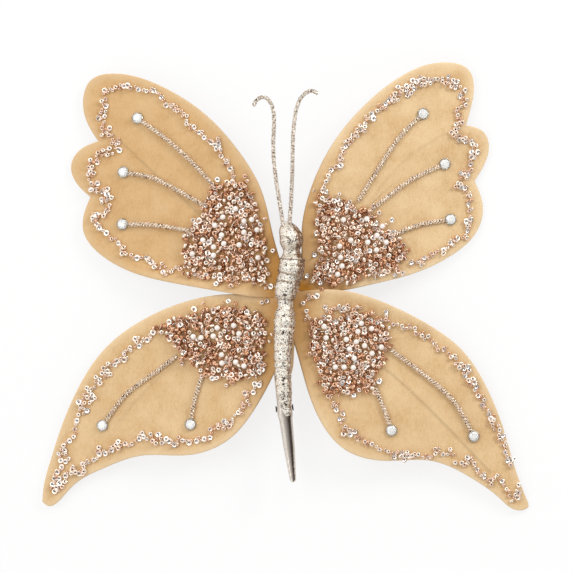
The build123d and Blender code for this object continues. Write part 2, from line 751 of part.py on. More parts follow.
def teeth(shift):
    """Notches between the teeth along both jaw edges, seen from the side as triangles."""
    pitch = tooth_span_share * clip_jaw_length / tooth_count
    notches = []
    for index in range(tooth_count):
        middle = -clip_jaw_length + tooth_clearance + (index + 1 + shift) * pitch
        ring = [(middle - pitch / 4, 0), (middle, tooth_depth), (middle + pitch / 4, 0)]
        notches.append(clip_side(ring))
    return notches


def clip_pin():
    """Pin through all four ears, with a flat head outside each end."""
    head_middle = clip_width / 2 + pin_clearance + pin_head_thickness / 2
    shank = Cylinder(pin_diameter / 2, clip_width + 2 * pin_clearance)
    head = Cylinder(pin_head_diameter / 2, pin_head_thickness)
    return Rot(0, full_turn / 4, 0) * (shank + Pos(0, 0, head_middle) * head + Pos(0, 0, -head_middle) * head)


def clip_spring():
    """Torsion spring round the pin, with a leg along the inside of each handle."""
    inner = (clip_height / 2 - clip_sheet) * math.cos(math.radians(clip_flare))
    radius = inner - spring_wire_diameter / 2 - spring_seat
    first = full_turn / 4 + clip_flare
    sweep_angle = 2 * full_turn + full_turn / 2 - 2 * clip_flare
    segments = 10
    width = spring_pitch * sweep_angle / full_turn
    points = []
    directions = []
    for index in range(segments + 1):
        share = index / segments
        angle = math.radians(first + sweep_angle * share)
        across = width * (share - 0.5)
        points.append(Vector(across, radius * math.cos(angle), radius * math.sin(angle)))
        lead = width / math.radians(sweep_angle) / radius
        if index in (0, segments):
            lead = 0
        directions.append(Vector(lead, -math.sin(angle), math.cos(angle)).normalized())
    edges = biarcs(points, directions)
    edges.insert(0, Line(points[0] - directions[0] * spring_leg_length, points[0]))
    edges.append(Line(points[-1], points[-1] + directions[-1] * spring_leg_length))
    path = Wire(edges)
    turn_length = 2 * math.pi * radius
    print("clip spring, least gap", round(least_gap(path, spring_wire_diameter, turn_length), 2))
    return tube(path, spring_wire_diameter)


def build_body():
    """Core, sleeve, thread, antennae and the strip under them."""
    core = body_solid(sleeve_thickness + wrap_clearance)
    sleeve = body_solid(0) - body_solid(sleeve_thickness)
    for side in ("left", "right"):
        route = antenna_route(side)
        bore = tube(route, antenna_wire_diameter + 2 * antenna_bore_clearance)
        core -= bore
        sleeve -= bore
        save("antenna_wire_" + side, tube(route, antenna_wire_diameter))
        save("antenna_wrap_" + side, antenna_wrap(route))
    save("body_core", core)
    save("body_sleeve", sleeve)
    save("binding_thread", binding_thread())
    tails, bores = wire_tails()
    strip = belly_strip()
    for bore in bores:
        strip -= bore
    save("belly_strip", strip)
    save("wing_wire_tails", Compound(tails))


def build_clip():
    """Both halves of the clip, its pin and spring, and the glue that holds it to the strip."""
    lean = Rot(0, 0, clip_lean)
    place = Pos(clip_pivot_across_share * wing_span, clip_pivot_share * wing_span, pivot_height) * lean
    tilted = place * Rot(-clip_flare, 0, 0)
    upper = clip_half(clip_width)
    lower = clip_half(clip_width - 2 * (clip_sheet + clip_nest_clearance))
    for notch in teeth(0):
        upper -= notch
    for notch in teeth(1 / 2):
        lower -= notch
    save("clip_upper_half", tilted * upper)
    save("clip_lower_half", tilted * Rot(0, full_turn / 2, 0) * lower)
    save("clip_pin", tilted * clip_pin())
    save("clip_spring", tilted * clip_spring())
    glue_length = clip_handle_length - 2 * clip_ear_radius
    glue_width = clip_width / 2
    pad = Box(glue_width, glue_length, glue_thickness)
    pad_middle = clip_handle_length / 2
    save("clip_glue", place * Pos(0, pad_middle, clip_rise + glue_thickness / 2) * pad)
    print("pivot height", round(pivot_height, 3), "hinge height", round(hinge_height, 3))


os.makedirs("parts", exist_ok=True)
for wing_name in wing_names:
    build_wing(wing_name)
build_body()
build_clip()
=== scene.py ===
# %% [markdown]
# # A clip-on fabric butterfly
# The CAD model is the frame: it says where every piece is and what moves. This lesson dresses that
# frame with cloth, beads, glitter and metal, and then lights it. All working sizes are millimetres,
# and each mesh is written in metres at the very end of its own making.

# %% Load the frame
import math

import bpy
import numpy as np
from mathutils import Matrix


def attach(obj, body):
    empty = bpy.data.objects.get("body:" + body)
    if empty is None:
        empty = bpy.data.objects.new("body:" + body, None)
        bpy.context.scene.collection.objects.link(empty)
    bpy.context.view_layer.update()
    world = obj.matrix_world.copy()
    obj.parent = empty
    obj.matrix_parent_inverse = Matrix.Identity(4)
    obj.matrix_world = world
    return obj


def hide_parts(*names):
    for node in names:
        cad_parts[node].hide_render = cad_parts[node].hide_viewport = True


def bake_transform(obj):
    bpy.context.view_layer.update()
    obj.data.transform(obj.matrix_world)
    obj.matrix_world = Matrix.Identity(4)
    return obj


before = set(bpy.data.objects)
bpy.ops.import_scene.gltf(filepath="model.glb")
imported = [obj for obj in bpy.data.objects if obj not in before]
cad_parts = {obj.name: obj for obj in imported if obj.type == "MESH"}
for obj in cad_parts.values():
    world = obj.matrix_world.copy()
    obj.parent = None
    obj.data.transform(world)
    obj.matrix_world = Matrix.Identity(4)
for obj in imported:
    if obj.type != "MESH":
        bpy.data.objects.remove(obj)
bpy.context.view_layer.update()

# %% [markdown]
# ## Where things are
# The wings bend about a line on each side of the body. A place on a wing is told by three numbers:
# how far out from that line it is, how far along it, and how high above the wing's middle layer.
# Outside the line the wing hangs down to the table at a small angle. Inside it the cloth runs level
# over the felt strip. A soft step between the two slopes keeps the cloth from showing a crease.
# The wings could also be drawn flat and tipped down afterwards, with all that is sewn on them. One
# function of three numbers is simpler: whatever uses it lies on the cloth by itself.

# %% The wings' places
span = 182.6
spine_foot = 1.0
spine_lean = math.radians(3.2)
hinge_offset = 4.0
hinge_height = 13.642
strip_half = 0.8
body_floor = hinge_height + strip_half + 1.1
bend_softness = 0.7


def noted(text):
    """Places noted in thousandths of the span from the object's middle, as mm."""
    return np.array([place.split(",") for place in text.split()], float) / 1000 * span


# Each wing's rim, as smooth runs between corners.
outlines = {
    "left_forewing": """0,-21 -17,-23 -93,-17 -202,2 -299,24 -379,65 -416,116 -414,151 -401,184 |
        -401,184 -430,213 -441,249 -426,278 -385,299 | -385,299 -408,338 -416,387 -401,424 -346,438
        -260,414 -163,352 -98,280 -50,198 -26,106 0,20""",
    "right_forewing": """0,-9 30,-9 108,-9 171,3 254,24 342,65 391,110 406,163 389,217 | 389,217
        410,254 418,289 408,317 371,332 | 371,332 381,369 387,412 377,445 334,461 241,434 163,373
        89,280 48,188 33,106 15,20 0,12""",
    "left_hindwing": """0,-25 -20,-24 -93,-16 -194,-28 -293,-69 -373,-130 -428,-213 -463,-295
        -484,-360 -498,-418 -500,-443 | -500,-443 -490,-451 -445,-418 -381,-377 -297,-348 -198,-346
        -118,-315 -65,-254 -30,-192 0,-130""",
    "right_hindwing": """0,-13 24,-10 108,-7 180,-25 276,-69 362,-130 416,-213 449,-295 473,-377
        496,-438 | 496,-438 500,-453 484,-461 443,-438 387,-397 297,-358 204,-358 124,-336 61,-254
        28,-151 0,-60""",
}
outlines = {wing: [noted(run) for run in text.split("|")] for wing, text in outlines.items()}
wing_names = tuple(outlines)


def side_of(wing):
    """-1 for a left wing and 1 for a right one."""
    return -1 if wing.startswith("left") else 1


def pair_of(wing):
    """The moving body that a wing belongs to."""
    return wing.split("_")[0] + "_wings"


def to_hinge(wing, seen):
    """Places seen from above, in mm, as distances out from the bending line and along it.
    Formula: turn by the spine's lean about its foot, then take the line's offset off."""
    x, y = seen[..., 0] - spine_foot, seen[..., 1]
    across = x * math.cos(spine_lean) - y * math.sin(spine_lean)
    along = x * math.sin(spine_lean) + y * math.cos(spine_lean)
    return np.stack([side_of(wing) * across - hinge_offset, along], -1)


def from_spine(across, along):
    """The way back: distances across and along the spine as x and y seen from above."""
    x = across * math.cos(spine_lean) + along * math.sin(spine_lean) + spine_foot
    return x, along * math.cos(spine_lean) - across * math.sin(spine_lean)


def wing_droop(wing):
    """The angle at which the wing hangs, so that its outermost lobe rests on the table.
    Formula: the arc tangent of the drop from the bending line over the reach of the outline."""
    reach = to_hinge(wing, np.concatenate(outlines[wing]))[:, 0].max()
    return math.atan((hinge_height - strip_half) / reach)


droop = {wing: wing_droop(wing) for wing in wing_names}


def hang(wing, out, along, rise):
    """Places in the model from places on a wing.
    Formula: the middle layer falls by tan(droop) times a soft ramp of the distance out; rise is then
    laid off square to the slope there, and the whole is turned by the spine's lean."""
    ramp = bend_softness * np.logaddexp(0, out / bend_softness)
    slope = droop[wing] / (1 + np.exp(-out / bend_softness))
    across = side_of(wing) * (hinge_offset + out + rise * np.sin(slope))
    height = hinge_height - math.tan(droop[wing]) * ramp + rise * np.cos(slope)
    return np.stack(np.broadcast_arrays(*from_spine(across, along), height), -1)


print("droop, degrees", {wing: round(math.degrees(angle), 2) for wing, angle in droop.items()})

# %% [markdown]
# ## Curves and shells
# A natural cubic spline turns a few places into a smooth curve. A shell is a stack of rings, each
# ring the same number of points, closed by a pole at either end. Wings, body, cords, beads and
# stones are all shells with other rings.
# Blender's own curves and modifiers could make many of them, but rings in an array can be measured
# and jittered, and each of their points can carry values for the finish.

# %% Waves and steps


def circle(count):
    """Angles evenly round a full turn."""
    return np.linspace(0, 2 * math.pi, count, endpoint=False)


def bell(distance, width):
    """A Gaussian: 1 at no distance and 1/e at the width."""
    return np.exp(-((distance / width) ** 2))


def share_of(value):
    """A value kept within 0 to 1."""
    return np.clip(value, 0, 1)


def eased(value):
    """A share s smoothed at both ends. Formula: s s (3 - 2 s)."""
    share = share_of(value)
    return share * share * (3 - 2 * share)


def bowed(wave, power):
    """A sine or cosine raised to a power, with its own sign: a side of a superellipse."""
    return np.sign(wave) * np.abs(wave) ** power


def ringed(radius, height, turn):
    """Rings of given radii and heights about the vertical, at the given angles."""
    return np.stack(np.broadcast_arrays(radius * np.cos(turn), radius * np.sin(turn), height), -1)


# %% A smooth curve and a shell


def smooth_run(points, spacing):
    """A natural cubic spline through points, sampled about every spacing.
    Formula: second derivatives from the three-term system on chord lengths, then a cubic per run."""
    points = np.asarray(points, float)
    knots = travelled(points)
    gap = np.diff(knots)
    size = len(points)
    system = np.zeros((size, size))
    system[0, 0] = system[-1, -1] = 1
    inner = np.arange(1, size - 1)
    system[inner, inner - 1] = gap[:-1]
    system[inner, inner] = 2 * (gap[:-1] + gap[1:])
    system[inner, inner + 1] = gap[1:]
    pull = np.zeros_like(points)
    steps = np.diff(points, axis=0) / gap[:, None]
    pull[1:-1] = 6 * (steps[1:] - steps[:-1])
    bend = np.linalg.solve(system, pull)
    places = np.linspace(0, knots[-1], max(2, round(knots[-1] / spacing) + 1))
    at = np.clip(np.searchsorted(knots, places, side="right") - 1, 0, size - 2)
    left, right = (knots[at + 1] - places)[:, None], (places - knots[at])[:, None]
    width = gap[at][:, None]
    curve = (bend[at] * left**3 + bend[at + 1] * right**3) / (6 * width)
    curve += (points[at] / width - bend[at] * width / 6) * left
    return curve + (points[at + 1] / width - bend[at + 1] * width / 6) * right


def travelled(line):
    """The distance along a line at each of its points."""
    return np.concatenate([[0], np.cumsum(np.linalg.norm(np.diff(line, axis=0), axis=1))])


def shell(rings, start=None, end=None):
    """Points, quads and triangles of a surface through rings of shape (rings, around, 3).
    Formula: a quad joins neighbours on one ring to the same two on the next; a pole fans out to a
    ring. The signed volume, a sum of a . (b x c) / 6, says whether the faces must be turned round."""
    count, around = rings.shape[:2]
    index = np.arange(count * around).reshape(count, around)
    near, far = index[:-1], index[1:]
    quads = np.stack([near, np.roll(near, -1, 1), np.roll(far, -1, 1), far], -1).reshape(-1, 4)
    points = rings.reshape(-1, 3)
    fans = [np.zeros((0, 3), int)]
    for pole, ring in ((start, index[0]), (end, index[-1][::-1])):
        if pole is not None:
            fans.append(np.stack([np.full(around, len(points)), np.roll(ring, -1), ring], -1))
            points = np.vstack([points, pole])
    fans = np.concatenate(fans)
    corners = np.concatenate([quads[:, [0, 1, 2]], quads[:, [0, 2, 3]], fans])
    a, b, c = (points[corners[:, item]] for item in range(3))
    if np.einsum("ij,ij->", a, np.cross(b, c)) < 0:
        quads, fans = quads[:, ::-1], fans[:, ::-1]
    return points, quads, fans


def closed(rings):
    """A shell whose poles are the middles of its first and last rings."""
    return shell(rings, rings[0].mean(0), rings[-1].mean(0))


def joined(forms):
    """Several shells as one: their points in a row and their faces counted on."""
    starts = np.cumsum([0] + [len(form[0]) for form in forms[:-1]])
    return tuple(
        np.concatenate([form[item] + (start if item else 0) for form, start in zip(forms, starts)])
        for item in range(3)
    )


def scattered(form, places, turns):
    """One shell at many places, each with its own 3 x 3 turn.
    Formula: point' = turn . point + place, for all copies at once."""
    points, quads, fans = form
    moved = np.einsum("nij,vj->nvi", turns, points) + places[:, None, :]
    shift = (np.arange(len(places)) * len(points))[:, None, None]
    return moved.reshape(-1, 3), (quads + shift).reshape(-1, 4), (fans + shift).reshape(-1, 3)


def nearest(places, line):
    """Distance from each place to the nearest of a line's points, in chunks of places."""
    chunks = np.array_split(places.reshape(-1, 2), 16)
    parts = [np.linalg.norm(part[:, None] - line[None], axis=2).min(1) for part in chunks]
    return np.concatenate(parts).reshape(places.shape[:-1])


# %% [markdown]
# ## From arrays to a piece
# Every piece goes through one function, so that each is named, gets its finish, moves with a body of
# the model where one is given, and hides the CAD nodes it stands for. The arrays go into the mesh whole.
# A loop could add the points one by one, but with a million faces it would take minutes.

# %% Make a piece
made = {}


def piece(name, form, finish, slot, replaced, body=None, smooth=True, **values):
    """A mesh object from a shell in mm, with point attributes from the named values."""
    points, quads, fans = form
    mesh = bpy.data.meshes.new(name)
    corners = np.concatenate([quads.ravel(), fans.ravel()]).astype(np.int32)
    sizes = np.repeat([4, 3], [len(quads), len(fans)]).astype(np.int32)
    mesh.vertices.add(len(points))
    mesh.vertices.foreach_set("co", (points / 1000).astype(np.float32).ravel())
    mesh.loops.add(len(corners))
    mesh.loops.foreach_set("vertex_index", corners)
    mesh.polygons.add(len(sizes))
    mesh.polygons.foreach_set("loop_start", (np.cumsum(sizes) - sizes).astype(np.int32))
    mesh.polygons.foreach_set("use_smooth", np.full(len(sizes), smooth))
    mesh.update(calc_edges=True)
    for key, value in values.items():
        carried = mesh.attributes.new(key, "FLOAT", "POINT")
        carried.data.foreach_set("value", np.asarray(value, np.float32).ravel())
    thing = bpy.data.objects.new(name, mesh)
    bpy.context.scene.collection.objects.link(thing)
    mesh.materials.append(finish)
    if body:
        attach(thing, body)
    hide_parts(*replaced)
    made[name] = len(quads) * 2 + len(fans)
    print(name, len(points), "points", made[name], "triangles")
    return thing


# %% [markdown]
# ## Writing finishes as sums
# A finish is a graph of nodes. Written node by node it is long and hard to read, so a socket is
# wrapped in a small class whose operators add the Math nodes: `1 - mask * 0.4` is then a graph.
# Any other node comes from one method, which sets its settings first and then its inputs.

# %% The finish maker


def rgb(red, green, blue):
    """A colour as the screen shows it, 0 to 255, as linear light with full alpha.
    Formula: the sRGB curve, c/12.92 below 0.04045 and ((c + 0.055)/1.055) ** 2.4 above."""
    screen = np.array([red, green, blue]) / 255
    light = np.where(screen <= 0.04045, screen / 12.92, ((screen + 0.055) / 1.055) ** 2.4)
    return (*light.tolist(), 1.0)


def operator(operation, swapped=False):
    """A method that adds a Math node. Swapped, it puts the other value first."""

    def act(wire, other):
        """Adds the node behind the wire's and gives its result as a wire."""
        values = (other, wire) if swapped else (wire, other)
        return wire.finish.node("Math", {"operation": operation}, *values)

    return act


class Wire:
    """A number or colour that flows between nodes."""

    def __init__(self, finish, socket):
        self.finish, self.socket = finish, socket

    __add__ = __radd__ = operator("ADD")
    __mul__ = __rmul__ = operator("MULTIPLY")
    __sub__ = operator("SUBTRACT")
    __rsub__ = operator("SUBTRACT", swapped=True)
    __gt__ = operator("GREATER_THAN")


class Finish:
    """A material under construction, round one Principled shader."""

    def __init__(self, name, **constants):
        self.material = bpy.data.materials.new(name)
        self.material.use_nodes = True
        self.tree = self.material.node_tree
        self.shader = self.tree.nodes["Principled BSDF"]
        self.use(**constants)

    def feed(self, socket, value):
        """Links a socket to a wire, or sets its value."""
        if isinstance(value, Wire):
            self.tree.links.new(value.socket, socket)
        else:
            socket.default_value = value

    def node(self, kind, settings, *values, output=0, **named):
        """Any node: its type, its settings, then its inputs in order or by name."""
        added = self.tree.nodes.new("ShaderNode" + kind)
        for key, value in settings.items():
            setattr(added, key, value)
        for socket, value in zip(added.inputs, values):
            self.feed(socket, value)
        for key, value in named.items():
            self.feed(added.inputs[key.replace("_", " ")], value)
        return Wire(self, added.outputs[output])

    def place(self, scale=(1, 1, 1)):
        """Object coordinates in mm, stretched by a scale."""
        seen = self.node("TexCoord", {}, output=3)
        return self.node("Mapping", {}, Vector=seen, Scale=tuple(1000 * value for value in scale))

    def noise(self, where, size, detail=3.0, rough=0.5):
        """Noise whose patches are about size mm across."""
        return self.node("TexNoise", {}, Vector=where, Scale=1 / size, Detail=detail, Roughness=rough)

    def chance(self, where, size):
        """A random number, 0 to 1, for each cell of about size mm."""
        cells = self.node("TexVoronoi", {}, Vector=where, Scale=1 / size, output=1)
        return self.node("SeparateColor", {}, cells)

    def own(self, name):
        """An attribute that the piece carries on its points."""
        return self.node("Attribute", {"attribute_name": name}, output=2)

    def ramp(self, amount, *stops):
        """A colour by an amount: stops are pairs of a place and a colour."""
        added = self.node("ValToRGB", {}, amount)
        fill_ramp(added.socket.node.color_ramp.elements, stops)
        return added

    def mix(self, share, first, second):
        """A blend of two colours."""
        added = self.tree.nodes.new("ShaderNodeMix")
        added.data_type = "RGBA"
        for item, value in ((0, share), (6, first), (7, second)):
            self.feed(added.inputs[item], value)
        return Wire(self, added.outputs[2])

    def bump(self, height, distance, strength):
        """Small relief: height 0 to 1 stands for a distance in mm."""
        bumped = self.node("Bump", {}, Height=height, Distance=distance / 1000, Strength=strength)
        self.use(Normal=bumped)

    def use(self, **sockets):
        """Feeds the shader's sockets and gives the material."""
        for key, value in sockets.items():
            self.feed(self.shader.inputs[key.replace("_", " ")], value)
        return self.material


def fill_ramp(elements, stops):
    """Sets a colour ramp's stops. It starts with two, so the middle ones are added."""
    for place, colour in stops[1:-1]:
        elements.new(place)
    for element, (place, colour) in zip(elements, stops):
        element.position, element.color = place, colour


def mottled(name, first, second, size, detail, rough, relief, gloss, **constants):
    """Two tones by one noise of about size mm, which also makes the relief, as a depth and a
    strength, and the roughness, as a spread and a least value."""
    finish = Finish(name, **constants)
    grain = finish.noise(finish.place(), size, detail, rough)
    if relief:
        finish.bump(grain, *relief)
    spread_by, least = gloss
    return finish.use(Base_Color=finish.mix(grain, first, second), Roughness=grain * spread_by + least)


# %% [markdown]
# ## Velvet
# The wings are a thin brushed velvet. Its pile makes a soft grain finer than a millimetre, the
# brush leaves cloudy patches and faint streaks, and at the cut rim the pile stands up and catches
# more light, which is painted on as a paler colour: a painted highlight. The rim distance comes with
# the mesh as an attribute, so the painted pale edge follows the outline. Painted shade darkens the
# cloth beside the body, under a patch's edge, along the wire and over some whole wings. Sheen gives
# the glow of the pile at a slant.
# A picture of cloth could be laid over the wing instead. Noise needs no picture, never repeats and
# stays sharp from close by.

# %% The cloth finishes


def velvet_finish(name, pale, mid, deep, rim, shade):
    """Velvet in three tones by cloudy noise, with a painted highlight at the rim, and painted shade where
    the piece carries it and along the crease over its wire."""
    cloth = Finish(name, Sheen_Weight=0.3, Sheen_Roughness=0.4, Sheen_Tint=rgb(255, 236, 205),
                   Specular_IOR_Level=0.2)
    where = cloth.place()
    clouds = cloth.noise(where, 9.0, 4.0, 0.6)
    nap = cloth.noise(cloth.place((1.5, 0.45, 1)), 0.8, 3.0, 0.6)
    grain = cloth.noise(where, 0.36, 2.0, 0.7)
    colour = cloth.ramp(clouds * 0.42 + nap * 0.22 + grain * 0.36, (0.36, deep), (0.5, mid), (0.64, pale))
    smooth = {"interpolation_type": "SMOOTHSTEP"}
    # Painted highlight: within about 3 mm of the cut rim the colour goes over to the paler rim colour,
    # where the pile catches the light.
    edge = cloth.node("MapRange", smooth, cloth.own("rim"), 0.2, 3.4, 1, 0)
    colour = cloth.mix(edge * 0.5, colour, rim)
    # Painted shade: the piece's own painted shade, beside the body, under a patch's edge and over some
    # whole wings, mixes in the shade colour.
    colour = cloth.mix(cloth.own("painted_shade") * 0.5, colour, shade)
    # Painted shade along the crease that the wire makes under the cloth.
    colour = cloth.mix(cloth.own("painted_crease_shade") * 0.4, colour, rgb(140, 120, 92))
    cloth.bump(grain * 0.7 + nap * 0.3, 0.16, 0.6)
    return cloth.use(Base_Color=colour, Roughness=grain * 0.15 + 0.8)


# The last two colours are the rim's painted highlight and the painted shade.
velvet = velvet_finish("brushed velvet", rgb(238, 209, 164), rgb(228, 195, 148), rgb(211, 172, 122),
                       rgb(242, 218, 180), rgb(190, 130, 46))
backing = velvet_finish("velvet back", rgb(228, 196, 152), rgb(216, 181, 135), rgb(198, 160, 114),
                        rgb(234, 208, 168), rgb(168, 130, 84))
felt, padding = (
    mottled(name, first, second, 0.5, 4.0, 0.75, (0.2, 0.8), (0.1, 0.88), Sheen_Weight=0.2,
            Specular_IOR_Level=0.2)
    for name, first, second in (("tan felt", rgb(186, 150, 104), rgb(222, 190, 144)),
                                ("pale interlining", rgb(226, 214, 190), rgb(244, 236, 218)))
)

# %% [markdown]
# ## The wings' cloth
# A wing is three layers: a front velvet, a thin interlining and a back velvet, with a wire between.
# Each is cut to the same outline, so each is a shell on one grid. The grid runs along rays from the
# rim to a middle place that sees the whole rim. The first rings lie close together, so that the cut
# edge can roll over; the rest share out the way to the middle.
# The cloth also swells a little where the wire runs under it, lies in slow waves, and lifts where
# one wing laps over the next beside the body.
# A filled outline with a bevel would be less work, but it has no rings by the rim to roll over and
# no even faces that bend along the body.

# %% The wings' outline and relief
# Each wing's middle, its wire, how dark the painted shade along the wire is, and how much painted shade
# lies over the whole cloth.
wing_notes = {
    "left_forewing": ("-262,215", "-30,20 -110,90 -268,233 -356,317", 0.65, 0.56),
    "right_forewing": ("235,225", "30,28 110,100 255,270 338,321", 0.25, 0.0),
    "left_hindwing": ("-262,-205", "-30,-58 -90,-95 -196,-141 -340,-275", 0.4, 0.14),
    "right_hindwing": ("255,-215", "30,-50 90,-90 194,-161 286,-243 420,-381", 0.75, 0.14),
}
lapping = ("left_forewing", "right_hindwing")
# Where painted shade lies under a patch's lower edge, beside the body.
patch_shade_places = {"right_forewing": "28,-4 75,-6 118,-4"}
wave_heights = (0.42, 0.30)
ridge_height, ridge_width = 0.15, 0.7
lap_height, lap_width = 1.95, 4.5


def hinge_line(wing, places, spacing):
    """A smooth run through places seen from above, as hinge places."""
    return to_hinge(wing, smooth_run(places, spacing))


def outline(wing):
    """The wing's rim as hinge places, smooth between its corners."""
    runs = [smooth_run(run, 0.62) for run in outlines[wing]]
    ring = np.concatenate([run[:-1] for run in runs[:-1]] + [runs[-1]])
    closing = np.linspace(ring[-1], ring[0], 8)[1:-1]
    return to_hinge(wing, np.concatenate([ring, closing]))


rims = {wing: outline(wing) for wing in wing_names}
middles = {wing: to_hinge(wing, noted(notes[0])[0]) for wing, notes in wing_notes.items()}
wire_lines = {wing: hinge_line(wing, noted(notes[1]), 0.3) for wing, notes in wing_notes.items()}
lap_lines = {wing: hinge_line(wing, outlines[wing][0][:5], 0.5) for wing in lapping}
patch_shade_lines = {wing: hinge_line(wing, noted(text), 0.5) for wing, text in patch_shade_places.items()}
print("rims, mm", {wing: round(travelled(rim)[-1]) for wing, rim in rims.items()})


def relief(wing, out, along):
    """How far the cloth stands above the plain slope.
    Formula: slow waves a (1 + sin) / 2 that fade in past the hinge, a Gaussian ridge over the wire,
    and for a lapping wing a wide Gaussian lift beside its lapped edge."""
    places = np.stack([out, along], -1)
    phase = 1.7 * wing_names.index(wing)
    waves = wave_heights[0] * (1 + np.sin(out / 8.5 + along / 19 + phase)) / 2
    waves = waves + wave_heights[1] * (1 + np.sin(along / 7.3 - out / 15 + 2 * phase)) / 2
    ridge = ridge_height * bell(nearest(places, wire_lines[wing]), ridge_width) * share_of(out / 3)
    height = waves * eased((out - 6) / 22) + ridge
    if wing in lapping:
        lift = lap_height * bell(nearest(places, lap_lines[wing]), lap_width)
        height = height + lift * share_of((out - 1.5) / 9)
    return height


# %% The wings' three layers
rim_depths = np.array([0.0, 0.05, 0.16, 0.34, 0.6, 0.95, 1.4, 2.0, 2.8])
half_filling, half_gap, half_wing = 0.34, 0.37, 0.80
cut_roll, roll_width = 0.36, 0.9
outer_squeeze, inner_squeeze = 0.22, 0.47


def wing_grid(wing, inner):
    """Hinge places on rays from the rim to the wing's middle, and their distance from the rim.
    Formula: the first rings go in by set depths, divided by how square the ray meets the rim; the
    others share out the rest of each ray evenly."""
    rim = rims[wing]
    ray = middles[wing] - rim
    length = np.linalg.norm(ray, axis=1, keepdims=True)
    edge = np.roll(rim, -1, 0) - np.roll(rim, 1, 0)
    square = np.abs(ray[:, 0] * edge[:, 1] - ray[:, 1] * edge[:, 0])
    square = np.clip(square / (length[:, 0] * np.linalg.norm(edge, axis=1)), 0.35, 1)[:, None]
    depths = rim_depths[:, None, None] / (square * length)
    shares = np.linspace(0, 1, inner + 2)[1:-1, None, None]
    shares = np.concatenate([depths, depths[-1] + (1 - depths[-1]) * shares])
    places = rim + ray * shares
    return places, nearest(places, rim)


def middle_poles(wing, rises):
    """A place over the wing's middle at each of the given rises."""
    out, along = middles[wing]
    ground = relief(wing, np.array([out]), np.array([along]))[0]
    return [hang(wing, out, along, ground + rise) for rise in rises]


def painted_shade_at(wing, places):
    """How much painted shade the cloth gets: a share for the whole wing, more beside the body, and along
    the noted line under a patch's lower edge.
    """
    # Painted shade: a share for the whole wing, and more within about 6 mm of the bending line.
    painted_shade = wing_notes[wing][3] + 1.15 * bell(np.maximum(places[..., 0], 0), 6.0)
    if wing in patch_shade_lines:
        painted_shade = painted_shade + 1.2 * bell(nearest(places, patch_shade_lines[wing]), 2.6)
    return painted_shade


def layer(wing, low, high, turn):
    """A velvet layer as a closed shell between two heights, with its distance from the rim, its painted
    shade and its painted shade along the crease over the wire. turn is 1 for the front and -1 for the
    back.
    Formula: the outer face comes down by a quarter ellipse over the last 0.9 mm, so the cut edge is
    round; under the body both faces move out by 0.22 and 0.47 mm, which makes the layer thinner."""
    places, depth = wing_grid(wing, 66)
    coarse = np.r_[0:len(rim_depths), len(rim_depths):len(places):6]
    out, along = places[..., 0], places[..., 1]
    drop = cut_roll * (1 - np.sqrt(1 - share_of(1 - depth / roll_width) ** 2 * 0.999))
    squeezed = turn * share_of(1 - (out + 1.5) / 3.0)
    levels = (high, low) if turn > 0 else (low, high)
    bump = relief(wing, out, along)
    outer = bump + levels[0] - turn * drop + squeezed * outer_squeeze
    under = bump + levels[1] + squeezed * inner_squeeze
    top = hang(wing, out, along, outer)[::-1]
    bottom = hang(wing, out[coarse], along[coarse], under[coarse])
    form = shell(np.concatenate([top, bottom]), *middle_poles(wing, levels))
    # Painted shade: how much lies over the whole wing and along the crease over the wire.
    wire_shade_weight, painted_shade = wing_notes[wing][2:]
    painted_crease_shade = wire_shade_weight * (bell(nearest(places, wire_lines[wing]), 0.55) * share_of((out - 2) / 6))
    carried = {"rim": (depth, 20), "painted_shade": (painted_shade_at(wing, places), painted_shade), "painted_crease_shade": (painted_crease_shade, 0)}
    return form, {name: on_shell(values, coarse, pole) for name, (values, pole) in carried.items()}


def on_shell(values, coarse, at_poles):
    """Values on the grid as values on the shell's points: top rings, bottom rings and two poles."""
    return np.concatenate([values[::-1].ravel(), values[coarse].ravel(), [at_poles, at_poles]])


def filling(wing):
    """The interlining: the same rays, cut short of the rim and of the bending line."""
    places = wing_grid(wing, 10)[0][3:]
    out, along = np.maximum(places[..., 0], 0.5), places[..., 1]
    bump = relief(wing, out, along)
    upper, lower = (hang(wing, out, along, bump + level) for level in (half_filling, -half_filling))
    poles = middle_poles(wing, (half_filling, -half_filling))
    return shell(np.concatenate([upper[::-1], lower]), *poles)


for wing in wing_names:
    for part, low, high, turn, finish, slot in (("front", half_gap, half_wing, 1, velvet, "velvet"),
                                                ("back", -half_wing, -half_gap, -1, backing, "backing")):
        form, carried = layer(wing, low, high, turn)
        cloth = piece(f"{wing}_{part}_cloth", form, finish, slot, [f"{wing}_{part}_fabric"], **carried)
        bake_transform(cloth)
    cloth = piece(wing + "_interlining_cloth", filling(wing), padding, "interlining",
                  [wing + "_interlining"], pair_of(wing))

# %% [markdown]
# ## The felt strip
# The wings are sewn and glued to a narrow felt strip under the body. Seen from below it lies
# between the wings and runs back to the clip. It is one closed shell, a rounded bar whose width
# changes along the body.
# A box with bevelled edges could stand for it, but wouldn't narrow as smoothly towards the tail.

# %% The strip under the body
# The body's middle and radius: x,y,radius from head to tail.
body_places = noted("""
    2,133.5,5 5,127.5,13 7.5,118,19.8 12,100,24 12,85,22 12.5,73,17 13.5,58.5,23.5 13,42,26.5 10,21.5,26
    4,3,25.5 1,-13.5,23 0,-34,15.5 -1,-52.5,19.5 -2,-79,21.5 -5,-120,18.5 -5.5,-140.5,18 -5,-182,16.5
    -3.2,-210.5,16 -1.2,-226.5,14.1 0.5,-243,11.5 3,-258,8 5,-266,3.5
""")
body_line = smooth_run(body_places[:, [1, 0, 2]], 0.33)
strip_front, strip_back, strip_reach, felt_half = 9.3, -46.5, 3.6, 0.79


def body_at(along):
    """The body's middle across, and its radius, at places along it."""
    line = body_line[np.argsort(body_line[:, 0])]
    return np.interp(along, line[:, 0], line[:, 1]), np.interp(along, line[:, 0], line[:, 2])


